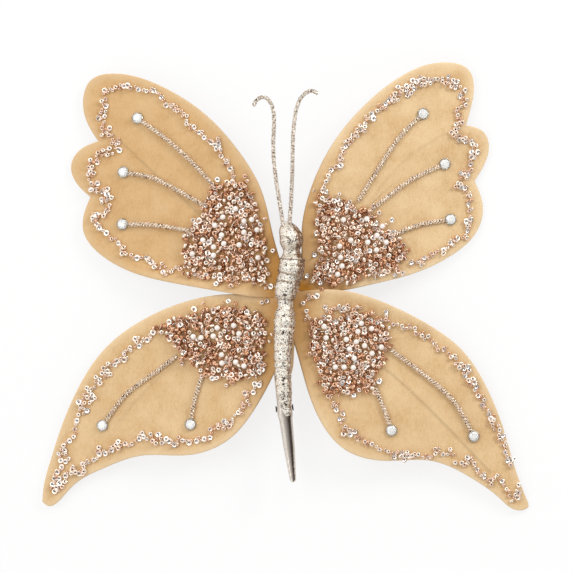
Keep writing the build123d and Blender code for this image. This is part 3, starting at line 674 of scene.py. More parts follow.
def strip_form():
    """Rounded slab: at each place along, a superellipse of half width h and half height 0.79 mm.
    Formula: across = h |cos t| ** 0.3 and height = 0.79 |sin t| ** 0.7, each with its own sign; h
    eases from 3.6 mm at the wings to 0.7 of the body's radius at the tail."""
    along = np.linspace(strip_front, strip_back, 150)
    middle, radius = body_at(along)
    lean_middle = spine_foot + math.tan(spine_lean) * along
    ease = eased((along + 38) / 9)
    half = ease * strip_reach + (1 - ease) * radius * 0.7
    centre = ease * lean_middle + (1 - ease) * middle
    ends = np.minimum(strip_front - along, along - strip_back) / 1.2
    half = half * np.sqrt(np.clip(1 - (1 - share_of(ends)) ** 2, 0.12, 1))
    turn = circle(28)
    x = centre[:, None] + half[:, None] * bowed(np.cos(turn), 0.3)
    z = hinge_height + felt_half * bowed(np.sin(turn), 0.7)
    return closed(np.stack(np.broadcast_arrays(x, along[:, None], z), -1))


piece("belly_strip_felt", strip_form(), felt, "felt", ["belly_strip"], "body")

# %% [markdown]
# ## Glitter
# The finish also paints shade on the glitter: darker down the body's right flank, at its left edge,
# underneath, between its ribs and in the grooves of the cords.
# Body, antennae and veins are wrapped in glitter: flakes glued at every angle. Each flake is a flat
# mirror, so some flash white, some show the champagne film and some are nearly black. The surface
# grid is jittered by a seeded random amount and shaded flat, so its facets are real flakes, and the
# finish gives each cell its own tone.
# Thousands of loose flakes would look much the same and cost far more faces. A smooth surface with
# coloured specks would be cheaper, but it wouldn't flash when the object turns.

# %% Glitter finishes
scatter = np.random.default_rng(7)


def glitter_finish(name, dark, mid, bright, size):
    """Flakes of about size mm. One random number per cell picks the tone and the gloss; the piece's own
    painted shade makes it darker, and its own "speck" shows dark flakes in some of the cells."""
    flakes = Finish(name, Specular_IOR_Level=0.6, Metallic=0.6)
    finer = flakes.chance(flakes.place((1.3, 0.9, 1.1)), size * 0.6)
    pick = flakes.chance(flakes.place(), size) * 0.6 + finer * 0.4
    # Painted shade: the tone is pushed darker by the piece's own painted shade.
    colour = flakes.ramp(pick - flakes.own("hollow") * 0.55, (0.10, dark), (0.36, mid), (0.72, bright))
    turned_away = flakes.chance(flakes.place((1, 1.2, 1)), 0.46) + flakes.own("speck") * 0.55 > 0.938
    flakes.bump(pick, 0.12, 0.8)
    return flakes.use(Base_Color=flakes.mix(turned_away, colour, rgb(66, 52, 42)),
                      Roughness=finer * 0.3 + 0.16)


body_glitter = glitter_finish("champagne glitter", rgb(120, 82, 52), rgb(252, 242, 222),
                              rgb(255, 253, 248), 0.30)
cord_glitter = glitter_finish("silver-rose glitter cord", rgb(166, 124, 84), rgb(253, 235, 209),
                              rgb(255, 250, 242), 0.22)
wrap_glitter = glitter_finish("antenna glitter wrap", rgb(140, 116, 94), rgb(240, 230, 216),
                              rgb(255, 248, 238), 0.36)

# %% [markdown]
# ## The body
# The body is carved foam, wound with glitter wrap. It is a shell of round rings whose underside
# keeps one level. The wrap goes round in turns, which show as low ribs on the abdomen and as small
# bumps along its sides.
# A few balls run together would give the outline too, but rings follow the photo's width at every
# place along the body, and leave no seams.

# %% The wrapped body
wrap_pitches = (3.3, 2.1)
speck_marks = """
    289,240 290,242 296,240.5 290,251 285,295 285,299 285,302.5 283.5,315.6 283.5,332.5 288.5,333
    283,349 283.5,364 283.5,379.5 282.5,383 283.5,393.5 283,397 285,404 282,405
"""


def from_marks(text):
    """Noted places, in steps of 0.375 mm from a corner, as mm from the middle of the object; any
    further numbers of a mark are lengths in the same steps."""
    marks = np.array([mark.split(",") for mark in text.split()], float)
    seen = np.column_stack([marks[:, 0] - 285.5, 286.5 - marks[:, 1]])
    return seen * span / 487, marks[:, 2:] * span / 487


def body_form():
    """Round rings along the body, ribbed and jittered, with the painted shade and speck of each point.
    Formula: radius times (1 + rib), where the rib is two crossed cosines of the distance along with a
    slight helix; the ring's middle stands one radius above the body's floor. The painted shade is
    shade painted into the glitter: down the right flank, at the left edge, underneath and between
    ribs. Speck is a Gaussian about each noted place, on the upper side only."""
    along, middle, radius = (column[:, None] for column in body_line[1:-1].T)
    turn = circle(84)
    tail = share_of((4 - along) / 8)
    rib = np.cos(2 * math.pi * along / wrap_pitches[0] + 0.6 * np.cos(turn + 0.5))
    rib = rib + 0.5 * np.cos(2 * math.pi * along / wrap_pitches[1] - 0.8 * np.sin(turn))
    swell = 1 + tail * 0.035 * rib + (1 - tail) * 0.012 * rib
    swell = swell + scatter.normal(0, 0.009, rib.shape) * 3.0 / np.maximum(radius, 1.5)
    reach = radius * swell
    x = middle + reach * np.cos(turn)
    z = body_floor + radius + reach * np.sin(turn)
    y = along + scatter.normal(0, 0.05, x.shape)
    rings = np.stack([x, y, np.maximum(z, body_floor - 0.02)], -1)
    # Painted shade: darker down the right flank, at the left edge, underneath and between the ribs.
    flank = share_of((np.cos(turn) - 0.28) / 0.34) + 0.7 * share_of((-np.cos(turn) - 0.84) / 0.12)
    flank = flank * share_of((np.sin(turn) + 0.35) / 0.3)
    underside_shade = 0.45 * share_of((0.1 - np.sin(turn)) / 0.6)
    hollow = (0.55 + 0.33 * share_of((along + 6) / 8)) * flank + underside_shade + 0.2 * share_of(-rib)
    speck = bell(nearest(rings[..., :2], from_marks(speck_marks)[0]), 0.75) * (np.sin(turn) > 0.2)
    form = shell(rings, rings[0].mean(0) + (0, 0.15, 0), rings[-1].mean(0) - (0, 0.15, 0))
    return form, with_poles(hollow), with_poles(speck)


def with_poles(values):
    """Values on rings as values on a shell's points, with none at its two poles."""
    return np.append(values.ravel(), [0, 0])


form, hollow, speck = body_form()
wrapped = piece("body_glitter_wrap", form, body_glitter, "glitter_wrap", ["body_sleeve", "body_core"],
                "body", smooth=False, hollow=hollow, speck=speck)

# %% [markdown]
# ## Tubes
# Antennae, veins, wires and threads are tubes: a ring carried along a curve. Two strands twisted
# together have a waist between them, so the ring's radius also goes in and out twice per turn, and
# that waist travels round along the cord.
# A curve object with a bevel makes a tube in one step, but its section is the same all along, so it
# can't show the twist.

# %% A tube along a curve


def grooves(line, sides, pitch):
    """How deep in the groove between two twisted strands each point of a cord is, 0 to 1.
    Formula: 1 - |cos(t - 2 pi s / pitch)| at angle t and distance s along."""
    return 1 - np.abs(np.cos(circle(sides) - 2 * math.pi * travelled(line)[:, None] / pitch))


def tube(line, radius, sides, up=(0, 0, 1), pitch=None, depth=0, jitter=0):
    """A ring of the given radius carried along a line and closed by a low pole at each end.
    Formula: side = tangent x up, top = side x tangent, ring = line + r (cos t side + sin t top), with
    r = radius (1 - depth groove) where a pitch says that it is twisted."""
    tangent = np.gradient(line, axis=0)
    tangent /= np.linalg.norm(tangent, axis=1, keepdims=True)
    across = np.cross(tangent, up)
    across /= np.linalg.norm(across, axis=1, keepdims=True)
    top = np.cross(across, tangent)
    turn = circle(sides)[:, None]
    reach = np.full((len(line), sides), float(radius))
    if pitch:
        reach = reach * (1 - depth * grooves(line, sides, pitch))
    if jitter:
        reach = reach + scatter.normal(0, jitter, reach.shape)
    ring = np.cos(turn) * across[:, None] + np.sin(turn) * top[:, None]
    rings = line[:, None] + reach[..., None] * ring
    return shell(rings, line[0] - tangent[0] * radius * 0.5, line[-1] + tangent[-1] * radius * 0.5)


# %% [markdown]
# ## Antennae and thread
# Each antenna is a stiff wire wound with glitter yarn, rising from the head and curling at the tip.
# A dark metallic thread binds the wings to the body: it goes round the neck and slantwise over the
# thorax.
# Smooth bent rods with relief in the finish would do from afar. Here the twist is in the shape, so
# that the outline is uneven as well, as wound yarn is.

# %% The antennae
antenna_places = {
    "left": "-3,112 -10.5,160 -19.5,220 -25,290 -23.5,345 -30,374 -43,386 -56,383 -65.5,369",
    "right": "7,112 10.5,160 13.5,220 15,290 19,345 27,376 39,393 54,399 65.5,394",
}
antenna_rise = math.tan(math.radians(4.0))
antenna_radius, antenna_sides, antenna_pitch = 0.80, 12, 2.0
head_along = 0.112 * span
antenna_base = body_floor + 1.2 * float(body_at(head_along)[1])

for side, text in antenna_places.items():
    seen = smooth_run(noted(text), 0.28)
    line = np.column_stack([seen, antenna_base + (seen[:, 1] - head_along) * antenna_rise])
    print(side, "antenna", round(travelled(line)[-1], 1), "mm")
    form = tube(line, antenna_radius, antenna_sides, pitch=antenna_pitch, depth=0.2, jitter=0.05)
    # The glitter is painted darker in the groove between the strands: painted shade.
    piece(side + "_antenna", form, wrap_glitter, "glitter_wrap",
          ["antenna_wire_" + side, "antenna_wrap_" + side], "body", smooth=False,
          hollow=with_poles(grooves(line, antenna_sides, antenna_pitch)))

# %% The binding thread
thread = mottled("dark metallic thread", rgb(96, 76, 60), rgb(190, 166, 140), 0.35, 2.0, 0.5, None,
                 (0.2, 0.3), Metallic=0.7)
thread_radius, thread_gap, thread_slack = 0.19, 0.17, 0.15


def thread_form():
    """A two-ply thread wound two and a half times round neck and thorax.
    Formula: angle from 0 to 5 pi; at each angle the thread stands 0.17 mm off the body's surface
    there, and up to 0.15 mm more on top, where the body's back slopes, and below."""
    angle = np.linspace(0, 5 * math.pi, 420)
    along = np.interp(angle, np.array([0, 1, 1.5, 2.4, 2.6, 3.4, 5]) * math.pi,
                      [10.9, 10.2, 9.9, 6.6, 5.8, 3.2, 1.9])
    middle, radius = body_at(along)
    reach = radius + thread_gap + thread_slack * (1 - np.cos(angle)) / 2
    under = share_of(np.cos(angle))
    x = middle - reach * np.sin(angle)
    z = body_floor + radius - (reach + under * thread_slack) * np.cos(angle)
    line = np.column_stack([x, along, z])
    return tube(line, thread_radius, 8, up=(0.02, 1, 0.03), pitch=1.0, depth=0.25)


piece("binding_thread_ply", thread_form(), thread, "thread", ["binding_thread"], "body")

# %% [markdown]
# ## Where the trimmings lie
# Sequins, seed beads and pearls are sewn on by hand: an uneven file one to three wide along each
# rim, and a crowded patch beside the body. The rim file follows places noted along each wing. The
# trimmings themselves are thrown at random from a seed, and one too close to its neighbours is
# thrown away, which is what makes such work look sewn and not printed.
# To note every bead by hand would be truer to this one butterfly, but there are about 3000 of them.

# %% Files, patches, stones and veins
# Rim files: x,y,reach of each noted place. Patches: their outline. Veins: from stone to patch. Then
# the least distances between middles: of trims of one kind, and of trims from pearls, stones, veins.
file_marks = {
    "left_forewing": """234,177,3 231,169,2.5 227.5,163,1.5 222,156,3 217,150,3 219,143,4.5
        212,142.5,2.5 205,137.5,1.5 200,132.5,3 195,127,2.5 187,124,3 187.5,116,2.5 178,112,3
        177,107,3 167,105,3 162,97.5,2 154.5,91,3.5 147,91,1.5 139,89,3 128,85.5,4 116,87,3 105,90,2.5
        106,99,2 102,101,3 106,106,3.5 99,117.5,3 105,116,3 102.5,127.5,3 103,135,3 110,128,3
        109,135,2 119,142.5,3.5 113,143,3 120,150,3 107,150,4 108,155,3 98,153,3.5 97.5,162,3 90,160,3
        89,167,4 94,173,4 88.5,175,3 92,182,3.5 98,183,3 95,190,4 102.5,192,3 108,189,3 109,197.5,4
        102,199,3 110,205,2.5 106,212.5,2 104,216,3.5 97,215,2 93,217.5,3 97,224,2 100,228,2 107,233,3
        112,239,3.5 119,243,3.5 124,247.5,3 122.5,254,3.5 132,255,3 138,258,3.5 147,258,3 152,262.5,3
        155,267.5,3 162,264,3 164,272.5,3 172,272.5,3.5 184,262.5,3 189,269,3 195,273,2.5 204,277,3.5
        265,285,2.5 271.5,286.5,2.5""",
    "right_forewing": """322,195,5 323,188,3 325,181,2.5 328,176,2 331,170,3.5 335,167,2 340,166,2.5
        339.5,158,2 342,152,1.5 345,147,2 347,141,3 352,136,2.5 356,133,4 360,130,5 363,124,3
        366,120,2.5 369,118,4 371,114,3 376,111,2 381,108,3.5 385,104,2.5 389,100,3.5 393,98,5
        397,94,4 401,88,5 406,90,6 411,86,6 416,85,4 421,81,5 427,80,4 431,80,2.5 437,79,2 442,81,4
        448,80,6 452,84,5 455,84,4 464,89,3.5 460,96,2 464.5,104.5,3 457,108,3 457,115,3 458,122,4
        455,129,4 452,135,4 459,136,4 465,141,4 472,144,4 474,154,4.5 470,164,3 471.5,169,2.5
        464,174,4 458,186,4 465,188,3 470,196,3.5 468,204,2 469,211,3 469,223,4.5 467,231,2.5
        466,238,3 457,238,3.5 450,243,2.5 443,250,4 434,253,2 424,258,3.5 422,263,2 412,260,3
        404,262,3 314,255,3 313,276,3 318,281,3.5 331,281,3.5 353,282,2 394,275,3""",
    "left_hindwing": """154,332.5,3 148,340,3 136,339,4 140,346,3.5 131,347.5,3 125,354,3.5
        125,360,2.5 117.5,361,2.5 112.5,364.5,4 105,371,4 111,374,3 100,380,4.5 91,389,4 92.5,399,5
        85,395,3 81,406,4.5 87.5,411,3 79,415,3 77.5,421,2 75,429,3 74.5,437.5,3.5 70,441,2.5 64,446,3
        59,454,3 65,451,3 61,461,3.5 62,467.5,3 57.5,472.5,2 55,479,3 53,485,3 55,492,3 62.5,487.5,3.5
        65,482.5,3 66,476,3 72.5,470,5 80,474,4 84,467.5,4 87.5,460,3.5 94,460,3 100,454,3.5
        99.5,448,2.5 106,454,2 114,447.5,4 121,445,4.5 126,444,3 132.5,444,3.5 140,439,3 143,433,2.5
        147.5,439,4 151,434,2.5 154,441,4 159,435,3 162.5,442.5,3.5 170,441,4 175,445,3.5 180,437.5,3
        184,440,3 190,442.5,1.8 197.5,441,1.8 205,439,2.5 211,437.5,2 211,429,3 219,427.5,4 225,424,4
        230,426,2 234,419,3.5 239,412.5,1.8 244,406,2 247.5,401,2 246,393,3 254,392,3 255.5,384,3
        260,385,3 256,374,4 252.5,371,3 261,370,3 227.5,385,3 235,381,3.5 262.5,302.5,3 267.5,301,2.5
        58,478,3 60,484,3.5 57,488,3 66,462,3.5 70,459,3""",
    "right_hindwing": """385,312,3 385,319,3.5 392.5,324,3.5 401,325,3.5 406,327.5,2.5 414,327.5,3
        415,334,2 421,335.5,3 427.5,336,2.5 434,344,3 437.5,350,3 442.5,349,2.5 451,357.5,3 454,356,3
        457.5,364,4 464,366,4 469,371,3 465,376,3 471,382.5,4 474,390,4 477.5,396,3 484,400,3
        482.5,405,2.5 489,414,3 494,420,4 492.5,426,3.5 499,430,3 500,437.5,4 505,446,3.5 505,452.5,3
        511,461,4 510,465,3 519,485,2.5 515,495,4.5 511,500,3 506,490,3 502,482,2 497,476,2.5
        491,481,4 484,477.5,3 477,470.5,2.5 474,464,2 467.5,458,3 464,465,4 455,462.5,3 449,450,3.5
        442.5,454,2.5 434,449,3 435,454,2 427.5,458,3 417.5,454.5,2.5 411,455,3 404,456,4.5 394,454,4
        387.5,451,3 379,449,2 371,444,3 364,441,3.5 351,431,4 345,426,3 343,434,3.5 339,419,3
        342,414,3.5 336,410,3.5 332.5,402.5,3 327.5,396,3 330,390,3 322.5,386,3 303,303,3 311,297,3.5
        316,296,3 306,311,3 307,322,3.5 325,307,3.5 331,313,3 338,305,3 341,310,3.5 347,309,5
        353,313,4 357,306,3 362,311,3 369,315,3.5""",
}
patch_places = {
    "left_forewing": """-151,210 -83,215 -59,167 -42,95 -36,34 -40,9 -93,7 -196,24 -210,65 -204,104
        -178,132 -165,167""",
    "right_forewing": """65,188 112,180 169,153 202,124 245,79 245,59 227,34 184,22 102,3 56,9 67,65
        61,157""",
    "left_hindwing": """-268,-83 -176,-52 -134,-40 -83,-46 -42,-59 -40,-130 -44,-176 -93,-192
        -165,-184 -206,-149 -233,-114""",
    "right_hindwing": """48,-66 100,-62 163,-52 210,-84 210,-130 186,-176 180,-208 132,-217 81,-217
        48,-120""",
}
pearl_places = {
    "left_forewing": """-100,159 -126,142 -143,125 -83,134 -67,137 -83,111 -128,105 -124,88 -167,95
        -93,85 -145,81 -189,67 -145,64 -54,59 -56,116""",
    "right_forewing": """116,137 164,139 196,124 108,83 131,95 166,91 185,105 204,91 184,75 110,60
        113,42 104,25""",
    "left_hindwing": """-138,-85 -104,-80 -187,-103 -171,-105 -146,-102 -93,-97 -129,-140 -128,-157
        -100,-155 -83,-163""",
    "right_hindwing": """153,-75 174,-86 146,-92 81,-105 77,-82 122,-109 143,-113 160,-121 129,-128
        175,-137 194,-124 139,-147 100,-165 118,-165 137,-166""",
}
stone_places = {
    "left_forewing": "-303,346 -332,235 -334,128",
    "right_forewing": "281,355 326,252 338,138",
    "left_hindwing": "-375,-286 -194,-283",
    "right_hindwing": "216,-295 386,-308",
}
vein_places = {
    "left_forewing": "-262,317 -206,270 -147,208 | -278,225 -221,198 -167,167 | -278,127 -196,114",
    "right_forewing": "239,315 196,254 147,176 | 266,225 210,186 169,153 | 286,130 215,104",
    "left_hindwing": "-323,-219 -268,-178 -223,-143 | -184,-229 -171,-186",
    "right_hindwing": "198,-245 184,-208 | 348,-241 297,-192 215,-130",
}
stone_rim = 2.3
large_apart, small_apart, patch_apart, under_apart = 1.22, 1.05, 1.42, 1.12
pearl_room, large_stone_room, small_stone_room, vein_room = 1.7, 3.1, 2.9, 1.5


def vein_lines(wing):
    """The veins seen from above, each from the rim of its stone to the patch."""
    lines = []
    for stone, text in zip(noted(stone_places[wing]), vein_places[wing].split("|")):
        places = noted(text)
        start = stone + (places[0] - stone) * stone_rim / np.linalg.norm(places[0] - stone)
        lines.append(smooth_run(np.vstack([start, places]), 0.27))
    return lines


def within(places, ring):
    """Which places lie inside a ring of points: an odd number of edges cross the ray to the right."""
    ahead = np.roll(ring, -1, 0)
    x, y = places[:, 0, None], places[:, 1, None]
    spans = (ring[:, 1] > y) != (ahead[:, 1] > y)
    rise = np.where(ahead[:, 1] == ring[:, 1], 1, ahead[:, 1] - ring[:, 1])
    cross = ring[:, 0] + (y - ring[:, 1]) * (ahead[:, 0] - ring[:, 0]) / rise
    return (spans & (x < cross)).sum(1) % 2 == 1


def spread(candidates, apart):
    """Keeps each candidate that is at least so far from all that were kept before it."""
    kept = candidates[:0]
    for place in candidates:
        if len(kept) == 0 or np.linalg.norm(kept - place, axis=1).min() >= apart:
            kept = np.vstack([kept, place])
    return kept


def filed(wing):
    """The rim file's large and small trims, seen from above.
    Formula: a large one at each mark, more thrown inside the wider marks, and small ones on the
    straight steps between marks up to 6.5 mm long, where no large one lies."""
    marks, reach = from_marks(file_marks[wing])
    wide = np.repeat(np.arange(len(marks)), 18)
    angle = scatter.random(len(wide)) * 2 * math.pi
    room = np.maximum(1.05 * reach[wide, 0] - 0.25, 0.25) * np.sqrt(scatter.random(len(wide)))
    more = marks[wide] + room[:, None] * np.column_stack([np.cos(angle), np.sin(angle)])
    large = spread(np.vstack([marks, more]), large_apart)
    steps = np.diff(marks, axis=0)
    between = marks[:-1, None] + steps[:, None] * scatter.random((len(steps), 14, 1))
    between = between[np.linalg.norm(steps, axis=1) < 6.5].reshape(-1, 2)
    between = between + scatter.normal(0, 0.45, between.shape)
    return large, spread(between[nearest(between, large) > 1.1], small_apart)


def patched(wing):
    """The upper and lower trims of the patch beside the body, and its pearls.
    Formula: thrown places whose depth inside the noted ring, plus two crossed waves, is above
    zero, so that the patch's edge wanders; a few strays lie up to 2.5 mm outside."""
    ring, pearls = noted(patch_places[wing]), noted(pearl_places[wing])
    edge = np.concatenate([np.linspace(a, b, 40) for a, b in zip(ring, np.roll(ring, -1, 0))])
    low, high = ring.min(0) - 3, ring.max(0) + 3
    tried = low + scatter.random((9000, 2)) * (high - low)
    tried = tried[nearest(tried, pearls) > pearl_room]
    x, y = tried.T
    depth = nearest(tried, edge) * np.where(within(tried, ring), 1, -1)
    depth = depth + 0.8 * np.sin(1.9 * x) * np.cos(1.6 * y) + 0.5 * np.sin(0.9 * x - 1.1 * y)
    inside, strays = tried[depth > 0], tried[(depth < -0.9) & (depth > -2.5)]
    half = len(inside) // 2
    upper = spread(np.vstack([inside[:half], strays[:12]]), patch_apart)
    return upper, spread(inside[half:], under_apart), pearls


def trimmed(wing):
    """All trims of a wing: files kept clear of stones, of veins and of the patch."""
    large, small = filed(wing)
    upper, lower, pearls = patched(wing)
    stones, veins = noted(stone_places[wing]), np.concatenate(vein_lines(wing))
    large = large[(nearest(large, stones) > large_stone_room) & (nearest(large, upper) > 1.5)]
    clear = (nearest(small, stones) > small_stone_room) & (nearest(small, upper) > 1.3)
    return large, small[clear & (nearest(small, veins) > vein_room)], upper, lower, pearls


trimmings = {wing: trimmed(wing) for wing in wing_names}
print("trimmings", {wing: [len(group) for group in groups] for wing, groups in trimmings.items()})

# %% [markdown]
# ## Metal film, pearl and stone
# Sequins and lined seed beads are rose-gold metal: near white where a lamp shows in them, copper
# where they see the dark, and painted nearly black in the holes, for the shade there and the dark
# thread. Each carries its own tone. Pearls are a pale, glossy coat over a soft body colour. The
# rhinestones are foiled glass in a metal cup; their facets are painted bright or grey, as painted
# reflections of the lamps and of the dark.
# One copper colour for all would look moulded. Real film differs from piece to piece, so the tone
# comes from a value that each trim carries.

# %% Trim finishes


def film_finish(name, dark, mid, bright, rough, metal):
    """Metal film: the trim's own tone picks the colour, and its hole is painted nearly black, for the
    shade in it and the dark thread through it.
    """
    film = Finish(name, Specular_IOR_Level=0.4)
    scuff = film.noise(film.place(), 0.8, 2.0)
    hole = film.own("hole")
    colour = film.ramp(film.own("tone") + scuff * 0.2 - 0.1, (0.0, dark), (0.45, mid), (1.0, bright))
    film.bump(scuff, 0.05, 0.5)
    # Painted shade: the hole goes over to nearly black, for the shade inside it and the dark thread
    # through it.
    return film.use(Base_Color=film.mix(hole, colour, rgb(30, 17, 11)), Metallic=(1 - hole) * metal,
                    Roughness=scuff * 0.12 + rough + hole * 0.5)


sequin_film = film_finish("rose-gold sequin film", rgb(172, 112, 76), rgb(240, 206, 182),
                          rgb(255, 245, 236), 0.09, 0.85)
bead_film = film_finish("copper-lined beads", rgb(150, 80, 38), rgb(230, 178, 140),
                        rgb(255, 241, 226), 0.10, 0.72)

pearl_coat = Finish("pearl", Coat_Weight=0.6, Coat_Roughness=0.08, Specular_IOR_Level=0.6)
bloom = pearl_coat.noise(pearl_coat.place(), 0.9, 1.0)
pearl_tone = pearl_coat.own("tone") * 0.6 + bloom * 0.4
pearl = pearl_coat.use(Base_Color=pearl_coat.mix(pearl_tone, rgb(255, 250, 244), rgb(250, 236, 226)),
                       Roughness=bloom * 0.1 + 0.14)

stone_glass = Finish("foiled stone", Metallic=0.1, Coat_Weight=1.0, Coat_Roughness=0.02)
# Painted reflections: each facet is painted white or grey by its own facet value and by random cells, as
# if it caught a lamp or the dark.
fire = stone_glass.chance(stone_glass.place(), 0.8)
stone = stone_glass.use(
    Base_Color=stone_glass.ramp(stone_glass.own("facet") * 0.65 + fire * 0.35, (0.12, rgb(112, 110, 106)),
                                (0.42, rgb(222, 222, 218)), (0.72, rgb(255, 255, 252))),
    Roughness=fire * 0.1 + 0.05)


def metal_finish(name, first, second, rough):
    """Plated metal: faint tone drift, fine drawn lines and small pits."""
    metal = Finish(name, Metallic=1.0)
    drift = metal.noise(metal.place(), 3.0)
    lines = metal.noise(metal.place((0.6, 0.12, 0.6)), 0.15, 2.0, 0.6)
    metal.bump(lines * 0.7 + drift * 0.3, 0.01, 0.4)
    return metal.use(Base_Color=metal.mix(drift, first, second), Roughness=lines * 0.16 + rough)


nickel = metal_finish("satin nickel", rgb(204, 193, 182), rgb(234, 226, 217), 0.12)
wire_metal = metal_finish("drawn wire", rgb(140, 132, 120), rgb(180, 172, 160), 0.3)
spring_metal = metal_finish("spring steel", rgb(150, 150, 150), rgb(196, 196, 196), 0.2)
cup_metal = metal_finish("stone cups", rgb(150, 142, 130), rgb(214, 207, 196), 0.16)
pin_metal = metal_finish("darkened pin", rgb(64, 54, 46), rgb(104, 92, 82), 0.3)

# %% [markdown]
# ## Sequins and seed beads
# A sequin is a cupped disc with a hole: a six-point profile turned once. A seed bead is a short
# fat ring. Each shape has fewer than a hundred faces, is made once and copied to hundreds of places
# with a turn of its own. One that lies over another rides higher and leans.
# Each could be an object of its own, which is easier to move but slow to draw, so all of one kind on
# a wing are one mesh.

# %% Turned shapes and their turns
slope_step = 0.4
cloth_gap = 0.04
crowd_reach = 1.95
lean_rise, steepest = 0.75, 1.45


def turned(profile, floor, pit, sides):
    """A profile of (radius, height, share of hole shade) turned about the vertical and closed by a pole at
    the underside and one in the pit of the hole. Gives the shell and each point's share of the painted
    shade in the hole."""
    radius, height, hole = (column[:, None] for column in np.asarray(profile, float).T)
    form = shell(ringed(radius, height, circle(sides)), (0, 0, floor), (0, 0, pit))
    return form, np.append(np.repeat(hole, sides), [0, 1])


def facing(wing, seen, rise, spin, tilt):
    """Places on the cloth and turns that stand a shape on it.
    Formula: axes from small steps out and along the cloth, then a spin about its normal and a tilt."""

    def on_cloth(out, along):
        """Places that stand above the cloth by the rise."""
        return hang(wing, out, along, relief(wing, out, along) + strip_half + rise)

    out, along = to_hinge(wing, seen).T
    here = on_cloth(out, along)
    first = on_cloth(out + slope_step, along) - here
    second = on_cloth(out, along + slope_step) - here
    normal = np.cross(first, second) * side_of(wing)
    normal /= np.linalg.norm(normal, axis=1, keepdims=True)
    first /= np.linalg.norm(first, axis=1, keepdims=True)
    second = np.cross(normal, first)
    cos_s, sin_s, cos_t, sin_t = (wave[:, None] for wave in (
        np.cos(spin), np.sin(spin), np.cos(tilt), np.sin(tilt)))
    ahead = second * cos_s - first * sin_s
    axes = [first * cos_s + second * sin_s, ahead * cos_t + normal * sin_t, normal * cos_t - ahead * sin_t]
    return here, np.stack(axes, -1)


sequin_shape = turned([(0.60, 0.0, 0), (1.20, 0.36, 0), (1.10, 0.50, 0), (0.70, 0.26, 0),
                       (0.34, 0.17, 0.3), (0.25, 0.10, 1)], 0.0, 0.06, 12)
bead_shape = turned([(0.62, 0.0, 0), (1.03, 0.34, 0), (1.02, 0.78, 0), (0.70, 1.12, 0),
                     (0.36, 1.0, 0.2), (0.25, 0.60, 1)], 0.0, 0.5, 12)
small_bead_shape = turned([(0.46, 0.0, 0), (0.78, 0.26, 0), (0.76, 0.62, 0), (0.48, 0.88, 0),
                           (0.22, 0.76, 0.6)], 0.0, 0.45, 9)


def crowding(places):
    """How many earlier places lie within reach of each place."""
    far = np.linalg.norm(places[:, None] - places[None], axis=2)
    return np.tril(far < crowd_reach, -1).sum(1)


def sewn(wing, shape, seen, rise, lean, tones):
    """Copies of a shape sewn on at places seen from above, with each point's tone and its share of the
    painted shade in the hole. The tones are picked between two ends."""
    form, hole = shape
    spin = scatter.random(len(seen)) * 2 * math.pi
    tilt = np.minimum(np.abs(scatter.normal(0, 1, len(seen))) * lean, steepest)
    here, turns = facing(wing, seen, rise + lean_rise * np.sin(tilt), spin, tilt)
    tone = tones[0] + (tones[1] - tones[0]) * scatter.random(len(seen))
    depth = 0.8 + 0.2 * scatter.random((len(seen), 1))
    turns = turns * (0.78 + 0.24 * scatter.random((len(seen), 1, 1)))
    return scattered(form, here, turns), np.repeat(tone, len(hole)), (depth * hole).ravel()


for wing in wing_names:
    large, small, upper, lower, pearls = trimmings[wing]
    discs = scatter.random(len(large)) < 0.5
    over = np.minimum(crowding(large), 2) * 0.32
    mixed = scatter.random(len(upper)) < 0.5
    sequins = [sewn(wing, sequin_shape, large[discs], cloth_gap + over[discs], 0.35, (0.65, 1.1)),
               sewn(wing, sequin_shape, upper[mixed], 0.74, 0.9, (0.35, 1.2))]
    beads = [sewn(wing, bead_shape, large[~discs], cloth_gap + over[~discs], 0.35, (0.65, 1.1)),
             sewn(wing, small_bead_shape, small, 0.03, 0.4, (0.5, 1.0)),
             sewn(wing, bead_shape, upper[~mixed], 0.60, 1.3, (0.25, 1.2)),
             # The lower beads lie under the others and get darker tones: partly the copper they have,
             # partly painted shade.
             sewn(wing, small_bead_shape, lower, 0.1, 0.9, (0.05, 0.6))]
    for kind, groups, finish in (("sequins", sequins, sequin_film), ("beads", beads, bead_film)):
        forms, tones, holes = zip(*groups)
        piece(f"{wing}_{kind}_sewn", joined(forms), finish, kind, [f"{wing}_{kind}"], pair_of(wing),
              tone=np.concatenate(tones), hole=np.concatenate(holes))

# %% [markdown]
# ## Pearls and stones
# A pearl is a small ball, a half-circle profile turned once, seated on the beads. A stone is a ring
# of facets under a flat table, held in a metal cup whose lip has four claws.
# A smooth ball is all that a pearl needs. A stone could be one too, but only flat facets flash one
# at a time, so it is built of rings and shaded flat.

# %% Pearls
pearl_radius, pearl_seat = 1.08, 0.75
rise_angle = np.linspace(0, math.pi, 9)[1:-1, None]
pearl_rings = ringed(np.sin(rise_angle), 1 - np.cos(rise_angle), circle(12)) * pearl_radius
pearl_form = shell(pearl_rings, (0, 0, 0), (0, 0, 2 * pearl_radius))

for wing in wing_names:
    seen = trimmings[wing][-1]
    level = np.zeros(len(seen))
    here, turns = facing(wing, seen, level + pearl_seat, level, level)
    tone = np.repeat(scatter.random(len(seen)), len(pearl_form[0]))
    piece(wing + "_pearls_sewn", scattered(pearl_form, here, turns), pearl, "pearls",
          [wing + "_pearls"], pair_of(wing), tone=tone)

# %% Stones and their cups
stone_sides = 16


def stone_form():
    """Facets: two girdle rings, a crown ring turned by half a step, then the flat table's rim and a
    ring on it."""
    half = math.pi / stone_sides
    levels = [(1.86, 0.55, 0), (1.90, 0.72, 0), (1.58, 1.12, half), (1.08, 1.42, 0), (0.5, 1.43, half)]
    radius, height, shift = (column[:, None] for column in np.array(levels).T)
    return shell(ringed(radius, height, circle(stone_sides) + shift), (0, 0, 0.45), (0, 0, 1.43))


